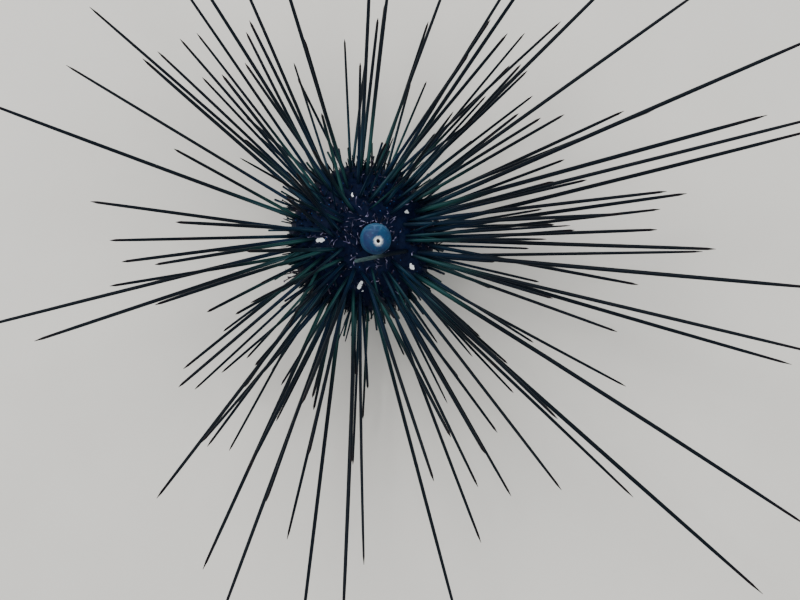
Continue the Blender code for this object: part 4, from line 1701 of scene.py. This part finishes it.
@dataclass
class AnalSac:
    """The bulging bladder in the middle of the upper disc, with the pore in its top."""

    shell: Shell
    radius: float = 6.95
    height: float = 9.0
    neck: float = 0.72
    foot_turn_deg: float = 132.0
    # Share of the height at which the sac is widest, and the share that lies above it
    waist: Span = (0.45, 0.55)
    # How deep the foot goes, where it narrows a little, and by how much
    foot_depths: Span = (0.2, 1.0)
    foot_taper: float = 0.98
    pore_radius: float = 0.85
    pore_depth: float = 1.6
    pore_shift: float = 1.0
    # The pore's floor, wall and lip as shares of its radius, and how high its wall starts
    pore_shares: tuple[float, float, float] = (0.8, 0.95, 1.25)
    wall_rise: float = 0.7
    steps: int = 96
    wall_steps: int = 30
    swell: float = 0.16
    swell_size: float = 3.2
    # How late, going up, and how soon, going out, the pore's shift is felt
    shift_onset: float = 3.0
    shift_fade: float = 0.7
    pore_sink: float = 0.1

    @cached_property
    def base(self) -> float:
        """Height of the sac's foot in the shell's axes."""
        return self.shell.disc_top + self.shell.disc_dome + GAP

    def pore(self) -> Vector:
        """Middle of the pore, a little under the sac's top, in the world."""
        top = self.shell.to_world(UP * (self.base + self.height - self.pore_sink))
        return top + Vector((0.0, -self.pore_shift, 0.0))

    def profile(self) -> list[Span]:
        """Draw the sac's profile.

        Returns:
            Radii and heights from the pore's floor to the foot.
        """
        base, narrow = self.base, self.radius * self.neck
        floor_height = base + self.height - self.pore_depth
        floor_share, wall_share, lip_share = self.pore_shares
        points = [
            (0.0, floor_height),
            (self.pore_radius * floor_share, floor_height),
            (self.pore_radius * wall_share, floor_height + self.wall_rise),
        ]
        first = asin(self.pore_radius * lip_share / self.radius)
        low, high = self.waist
        for step in range(self.wall_steps + 1):
            turn = first + (radians(self.foot_turn_deg) - first) * step / self.wall_steps
            points.append((self.radius * sin(turn), base + self.height * (low + high * cos(turn))))
        shallow, deep = self.foot_depths
        foot = base - deep
        return points + [(narrow, base - shallow), (narrow * self.foot_taper, foot), (0.0, foot)]

    def build(self) -> Piece:
        """Make the sac.

        Returns:
            The sac, closed, in the world.
        """
        bm = spun(self.profile(), self.steps)
        sideways = self.shell.upright @ Vector((0.0, -self.pore_shift, 0.0))
        for vertex in bm.verts:
            spread = hypot(vertex.co.x, vertex.co.y) / self.radius
            high = max(0.0, (vertex.co.z - self.base) / self.height)
            swell = self.swell * noise.noise(vertex.co / self.swell_size) * spread
            vertex.co += Vector((vertex.co.x, vertex.co.y, 0.0)).normalized() * swell
            vertex.co += sideways * high ** self.shift_onset * max(0.0, 1.0 - spread) ** self.shift_fade
        return leaned(bm, "anal_sac_bladder", self.shell)


@dataclass
class DiscPlates:
    """Five large and five small plates in a ring round the anal sac, under the skin's tone."""

    shell: Shell
    # Half width in degrees, inner radius and outer radius of a large and a small plate
    large: tuple[float, float, float] = (30.0, 5.9, 10.6)
    small: tuple[float, float, float] = (9.0, 9.2, 12.0)
    thickness: float = 0.55
    # Share of the thickness that is sunk in, and how steeply a plate falls past the disc's rim
    sunk: float = 0.4
    fall: float = 0.35
    steps_out: int = 4
    steps_round: int = 8
    rounding: float = 0.2
    # Least angle between two faces that counts as an edge, in radians
    edge_angle: float = 1.0

    def plate(self, middle_deg: float, half_deg: float, inner: float, outer: float) -> BMesh:
        """One plate, a wedge with rounded edges that follows the dome of the disc.

        Args:
            middle_deg: azimuth of its middle.
            half_deg: half its width in degrees.
            inner: its inner radius.
            outer: its outer radius.

        Returns:
            The closed plate in the shell's axes.
        """
        shell = self.shell
        profile = []
        for step in range(self.steps_out + 1):
            radius = inner + (outer - inner) * step / self.steps_out
            fall = max(0.0, radius - shell.disc_radius) * self.fall
            profile.append((radius, shell.dome(radius) - fall - self.thickness * self.sunk))
        bm = bmesh.new()
        swept(bm, profile, self.steps_round, radians(middle_deg - half_deg), radians(half_deg * 2.0))
        lifted = bmesh.ops.extrude_face_region(bm, geom=bm.faces[:])["geom"]
        raised = [item for item in lifted if isinstance(item, bmesh.types.BMVert)]
        bmesh.ops.translate(bm, verts=raised, vec=(0.0, 0.0, self.thickness))
        bmesh.ops.recalc_face_normals(bm, faces=bm.faces)
        rounded(bm, [edge for edge in bm.edges if edge.calc_face_angle(0.0) > self.edge_angle], self.rounding)
        return bm

    def build(self) -> Piece:
        """Make the ring of plates.

        Returns:
            The piece.
        """
        whole = bmesh.new()
        for number in range(ROW_COUNT):
            middle = self.shell.row("broad", number)[0]
            merged(whole, self.plate(middle, *self.large))
            merged(whole, self.plate(middle + ROW_STEP / 2.0, *self.small))
        return leaned(whole, "disc_plates", self.shell)


@dataclass
class Pincers:
    """The small pincers on stalks between the spines, thickest round the upper disc."""

    shell: Shell
    count: int = 190
    # How much sparser they are towards azimuth zero, and how far their roots keep off those of the spines
    thinning: float = 0.8
    root_room: float = 1.1
    inner: float = 7.2
    width: float = 21.0
    crowding: float = 1.35
    lifts: Span = (0.15, 0.7)
    lengths: Span = (1.7, 3.6)
    thicknesses: Span = (0.55, 0.88)
    sway: float = 0.35
    # How much the dark ones outnumber the light
    dimness: float = 2.0
    sides: int = 6
    strip: Strip = Strip(turns=(8.0, 62.0))
    # Where the rings lie along the stalk and its head, and how wide they are
    alongs: tuple[float, ...] = (-0.1, 0.3, 0.58, 0.74, 0.9, 1.0)
    radii: tuple[float, ...] = (0.2, 0.17, 0.18, 0.3, 0.27, 0.07)

    def build(self, spines: Sequence[Spine]) -> Piece:
        """Make the pincers.

        Args:
            spines: the spines, whose roots they keep clear of.

        Returns:
            The piece.
        """
        chance = random.Random(83)
        shell = self.shell
        roots = [shell.to_own(spine.root) for spine in spines]
        stems = []
        while len(stems) < self.count:
            azimuth = chance.uniform(0.0, 360.0)
            if chance.random() < self.thinning * cos(radians(azimuth)):
                continue
            radius = self.inner + self.width * chance.random() ** self.crowding
            turn = degrees(shell.turn_at_radius(radius))
            root = shell.on_surface(azimuth, turn)
            normal = shell.normal(root)
            if radius < shell.disc_radius:
                root.z = shell.dome(radius)
            if min((root - other).length for other in roots) < self.root_room:
                continue
            stray = strayed(chance.gauss, 0.0, 1.0)
            stray -= normal * stray.dot(normal)
            direction = shell.lean @ (normal * chance.uniform(*self.lifts) + stray.normalized()).normalized()
            length = chance.uniform(*self.lengths)
            thick = chance.uniform(*self.thicknesses)
            alongs = [length * share for share in self.alongs]
            radii = [thick * share for share in self.radii]
            sway = strayed(chance.gauss, 0.0, self.sway)
            manner = (sway, Bend.BOW, chance.random() ** self.dimness)
            stems.append(Stem(shell.to_world(root), direction, alongs, radii, (azimuth, turn), *manner))
        return StemMould(self.sides, len(self.alongs)).build("pincers", stems, self.strip)


@dataclass
class TubeFeet:
    """The tube feet, in two files down each narrow row, longer and suckered below the waist."""

    shell: Shell
    pairs: int = 15
    # Turn from the upper pole of the first pair and how much further the last one is, in degrees
    first_turn: float = 30.0
    turn_span: float = 96.0
    inset_deg: float = 3.0
    azimuth_stray: float = 1.0
    turn_stray: float = 2.0
    aim_stray: float = 0.35
    # Least length, what the lowest ones have more, how late that sets in, and how much it varies
    least: float = 2.5
    gain: float = 8.0
    onset: float = 2.2
    vary: Span = (0.8, 1.2)
    sway_share: float = 0.16
    alongs: tuple[float, ...] = (-0.06, 0.2, 0.45, 0.7, 0.92, 0.95, 1.0)
    radii: tuple[float, ...] = (0.42, 0.36, 0.32, 0.3, 0.28)
    # Radius of a plain end and of a sucker, where suckers begin, and how far an end narrows
    end_radii: Span = (0.3, 0.55)
    suckers_from: float = 0.6
    end_share: float = 0.85
    floor_room: float = 1.5
    sides: int = 6
    strip: Strip = Strip(turns=(20.0, 135.0))

    def build(self) -> Piece:
        """Make the tube feet.

        Returns:
            The piece.
        """
        chance = random.Random(89)
        shell = self.shell
        stems = []
        for number, pair, side in product(range(ROW_COUNT), range(self.pairs), SIDES):
            middle, half = shell.row("narrow", number)
            share = pair / (self.pairs - 1)
            turn = self.first_turn + self.turn_span * share
            stray = chance.uniform(-self.azimuth_stray, self.azimuth_stray)
            azimuth = middle + side * (half - self.inset_deg) + stray
            root = shell.on_surface(azimuth, turn + chance.uniform(-self.turn_stray, self.turn_stray))
            aim = (shell.normal(root) + strayed(chance.gauss, 0.0, self.aim_stray)).normalized()
            direction = shell.lean @ aim
            length = (self.least + self.gain * share ** self.onset) * chance.uniform(*self.vary)
            wide = self.end_radii[int(share > self.suckers_from)]
            alongs = [length * place for place in self.alongs]
            radii = [*self.radii, wide, wide * self.end_share]
            sway = strayed(chance.gauss, 0.0, self.sway_share * length)
            manner = (sway, Bend.CURL, chance.random())
            foot = Stem(shell.to_world(root), direction, alongs, radii, (azimuth, turn), *manner)
            if foot.root.z + direction.z * length + min(sway.z, 0.0) > self.floor_room:
                stems.append(foot)
        return StemMould(self.sides, len(self.alongs)).build("tube_feet", stems, self.strip)


@dataclass
class Mouth:
    """The soft disc round the mouth, with its teeth, its feeding feet and the gills at its rim."""

    shell: Shell
    steps: int = 120
    # Heights of the disc's upper side over the rim, in the middle and outside
    lid: Span = (1.2, 1.0)
    # Share of the radius and share of the full sag, from the rim inwards
    sags: tuple[Span, ...] = (
        (0.93, 0.3), (0.8, 0.6), (0.65, 0.82), (0.5, 0.97),
        (0.36, 1.0), (0.24, 0.92), (0.15, 0.6), (0.0, 0.4),
    )
    folds: int = 30
    fold_depth: float = 0.16
    crease_depth: float = 0.12
    crease_size: float = 1.5
    # How far under the rim and how far off the middle the disc is folded
    folded_under: float = 0.1
    folded_from: float = 1.0
    # Width, depth and length of a tooth, the width and depth left at its tip, its lean and its place
    tooth: tuple[float, float, float] = (1.2, 2.25, 5.0)
    tooth_tip: tuple[float, float, float] = (0.25, 0.4, 1.0)
    tooth_rounding: float = 0.16
    tooth_lean_deg: float = -16.0
    tooth_ring: float = 2.0
    tooth_rise: float = 0.4
    # Feeding feet: how far to each side of a narrow row, how far out, at what share of the sag, their shape
    feeler_side_deg: float = 11.0
    feeler_ring: float = 6.4
    feeler_sag: float = 0.8
    feeler_alongs: tuple[float, ...] = (-0.4, 0.6, 1.3, 1.7, 1.9, 2.0)
    feeler_radii: tuple[float, ...] = (0.5, 0.45, 0.4, 0.75, 0.7, 0.5)
    feeler_shade: float = 0.6
    feeler_map_turn: float = 150.0
    gill_count: int = 9
    gill_azimuths: Span = (1.0, 9.0)
    gill_edges: Span = (-0.4, 0.6)
    gill_rise: float = 0.3
    gill_splays: Span = (0.1, 0.9)
    gill_stray: float = 0.4
    gill_lengths: Span = (2.2, 4.2)
    gill_sway: float = 0.5
    gill_map_turn: float = 140.0
    frill_sides: int = 8
    frill_strip: Strip = Strip(turns=(130.0, 160.0))
    gill_alongs: tuple[float, ...] = (-0.1, 0.25, 0.5, 0.75, 0.92, 1.0)
    gill_radii: tuple[float, ...] = (0.4, 0.42, 0.38, 0.4, 0.3, 0.12)

    def membrane(self) -> Piece:
        """Make the soft disc, with folds that run to the mouth.

        Returns:
            The piece.
        """
        shell = self.shell
        rim, low = shell.mouth_radius - GAP, shell.mouth_low
        profile = [(0.0, low + self.lid[0]), (rim, low + self.lid[1]), (rim, low)]
        profile += [(rim * share, low - shell.mouth_sag * sag) for share, sag in self.sags]
        bm = spun(profile, self.steps)
        for vertex in bm.verts:
            radius = hypot(vertex.co.x, vertex.co.y)
            if vertex.co.z < low - self.folded_under and radius > self.folded_from:
                azimuth = atan2(vertex.co.y, vertex.co.x)
                fold = self.fold_depth * sin(azimuth * self.folds) * sin(pi * min(radius / rim, 1.0))
                vertex.co.z += fold + self.crease_depth * noise.noise(vertex.co / self.crease_size)
        return leaned(bm, "mouth_membrane", shell)

    def teeth(self) -> Piece:
        """Make the five chisel teeth that meet in the middle of the mouth.

        Returns:
            The piece.
        """
        shell = self.shell
        whole = bmesh.new()
        inward = Matrix.Rotation(radians(self.tooth_lean_deg), 4, "Y")
        height = shell.mouth_low - shell.mouth_sag + self.tooth_rise
        place = Matrix.Translation((self.tooth_ring, 0.0, height))
        for number in range(ROW_COUNT):
            tooth = bmesh.new()
            bmesh.ops.create_cube(tooth, size=1.0)
            bmesh.ops.scale(tooth, vec=self.tooth, verts=tooth.verts)
            tip = [vertex for vertex in tooth.verts if vertex.co.z < 0]
            bmesh.ops.scale(tooth, vec=self.tooth_tip, verts=tip)
            rounded(tooth, tooth.edges[:], self.tooth_rounding)
            turn = Matrix.Rotation(radians(shell.row("broad", number)[0]), 4, "Z")
            bmesh.ops.transform(tooth, matrix=turn @ place @ inward, verts=tooth.verts)
            merged(whole, tooth)
        return leaned(whole, "teeth", shell)

    def frills(self) -> Piece:
        """Make the feeding feet on the disc and the gill tufts at the ends of the narrow rows.

        Returns:
            The piece.
        """
        chance = random.Random(97)
        shell = self.shell
        down = shell.lean @ -UP
        stems = []
        for number, side in product(range(ROW_COUNT), SIDES):
            azimuth = shell.row("narrow", number)[0] + side * self.feeler_side_deg
            inner = Vector((self.feeler_ring, 0.0, shell.mouth_low - shell.mouth_sag * self.feeler_sag))
            inner.rotate(Matrix.Rotation(radians(azimuth), 3, "Z"))
            feeler = (down, self.feeler_alongs, self.feeler_radii, (azimuth, self.feeler_map_turn))
            stems.append(Stem(shell.to_world(inner), *feeler, bend=Bend.CURL, shade=self.feeler_shade))
            for _ in range(self.gill_count):
                turn = azimuth + side * chance.uniform(*self.gill_azimuths)
                out = shell.mouth_radius + chance.uniform(*self.gill_edges)
                edge = Vector((out, 0.0, shell.mouth_low + self.gill_rise))
                splay = chance.uniform(*self.gill_splays)
                aim = Vector((splay, chance.gauss(0.0, self.gill_stray), -1.0)).normalized()
                for arrow in (edge, aim):
                    arrow.rotate(Matrix.Rotation(radians(turn), 3, "Z"))
                length = chance.uniform(*self.gill_lengths)
                alongs = [length * share for share in self.gill_alongs]
                sway = strayed(chance.gauss, 0.0, self.gill_sway)
                gill = (shell.lean @ aim, alongs, self.gill_radii, (turn, self.gill_map_turn), sway)
                stems.append(Stem(shell.to_world(edge), *gill, Bend.CURL, chance.random()))
        mould = StemMould(self.frill_sides, len(self.gill_alongs))
        return mould.build("gills_and_feeding_feet", stems, self.frill_strip)


@dataclass
class Studio:
    """The floor, the soft lamps and the camera."""

    sight: Sight
    floor_size: float = 6.0
    floor_finish: TissueFinish = TissueFinish(
        "matt_paint", 0.9, 1.45, "#d9d6cf", "#dcd9d2", mottle=60.0, grain=1.5, relief=0.02, coat=0.0,
    )
    # Name, place and side in metres, and watts
    lamps: tuple[tuple[str, tuple[float, float, float], float, float], ...] = (
        ("key_lamp", (-0.55, 0.75, 1.25), 0.9, 26.0),
        ("fill_lamp", (0.9, -0.5, 1.1), 1.2, 12.0),
    )
    sky: float = 0.55
    sky_colour: str = "#e6eaee"
    clip: Span = (0.01, 50.0)

    def floor(self) -> None:
        """Lay a plain pale floor at z = 0."""
        bm = bmesh.new()
        bmesh.ops.create_grid(bm, x_segments=1, y_segments=1, size=self.floor_size / 2.0)
        mesh = bpy.data.meshes.new("studio_floor")
        bm.to_mesh(mesh)
        bm.free()
        mesh.materials.append(self.floor_finish.material())
        put_out("studio_floor", mesh)

    def light(self) -> None:
        """Hang the square soft lamps, which face the animal, under an even sky."""
        for name, place, size, watts in self.lamps:
            light = bpy.data.lights.new(name, "AREA")
            light.size = size
            light.energy = watts
            holder = put_out(name, light)
            holder.location = place
            holder.rotation_euler = (-Vector(place)).to_track_quat("-Z", "Y").to_euler()
        world = bpy.data.worlds.new("studio_sky")
        world.use_nodes = True
        back = world.node_tree.nodes["Background"]
        back.inputs["Color"].default_value = linear(self.sky_colour)
        back.inputs["Strength"].default_value = self.sky
        bpy.context.scene.world = world

    def camera(self) -> None:
        """Set the camera at the eye, looking straight down."""
        data = bpy.data.cameras.new("camera")
        data.sensor_width = self.sight.sensor
        data.lens = self.sight.lens
        data.clip_start, data.clip_end = self.clip
        holder = put_out("camera", data)
        holder.location = self.sight.eye * MM
        bpy.context.scene.camera = holder


def main() -> None:
    """Build the animal and its studio."""
    logging.basicConfig(level=logging.INFO, format="%(name)s: %(message)s")
    shell = Shell()
    sight = Sight(shell)
    studio = Studio(sight)
    studio.floor()
    studio.light()
    studio.camera()
    spines = SpinePlan(shell, sight).grow()
    LOG.info("%d spines placed", len(spines))
    solids = [f"{kind}ambulacrum_{number + 1}" for kind in ("inter", "") for number in range(ROW_COUNT)]

    enrol(Skin(shell).build(spines), SkinFinish().material(shell), "spine_and_skin", *solids)
    coat = SpineCoat(shell)
    needle = SpineFinish().material(shell)
    for solid, piece in coat.build(spines).items():
        enrol(piece, needle, "spine_and_skin", solid)
    enrol(coat.build_stump(spines), StumpFinish().material(), "spine_and_skin")

    sac = AnalSac(shell)
    sac_finish = SacFinish().material(shell.centre * MM, shell.lean @ UP, sac.pore() * MM, sac.radius)
    enrol(sac.build(), sac_finish, "anal_sac_skin", "anal_sac")
    plate_finish = TissueFinish("skinned_plate", 0.55, 1.12, "#02081f", "#09142b", coat=0.0)
    enrol(DiscPlates(shell).build(), plate_finish.material(), "apical_plate", "apical_disc")

    pincer_finish = SoftFinish("pincer_tissue", 0.5, 1.2, "#080916", "#5d5a7c", "#a9a5c4")
    enrol(Pincers(shell).build(spines), pincer_finish.material(), "spine_and_skin")
    foot_finish = SoftFinish("tube_foot_tissue", dark="#0c0a14", light="#2c2338", end="#6d6076", end_from=0.9)
    enrol(TubeFeet(shell).build(), foot_finish.material(), "spine_and_skin")

    mouth = Mouth(shell)
    mouth_finish = TissueFinish("mouth_membrane_skin", dark="#120d16", light="#3a2834", mottle=1.6)
    enrol(mouth.membrane(), mouth_finish.material(), "mouth_skin", "peristome")
    tooth_finish = TissueFinish("calcite_tooth", 0.35, 1.6, "#cfc6b4", "#f1ece0", mottle=1.2, relief=0.05)
    enrol(mouth.teeth(), tooth_finish.material(), "mouth_skin", "peristome")
    gill_finish = SoftFinish("gill_tissue", dark="#1c1420", light="#4a3444", end="#6b4c5e")
    enrol(mouth.frills(), gill_finish.material(), "mouth_skin")


if __name__ == "__main__":
    main()
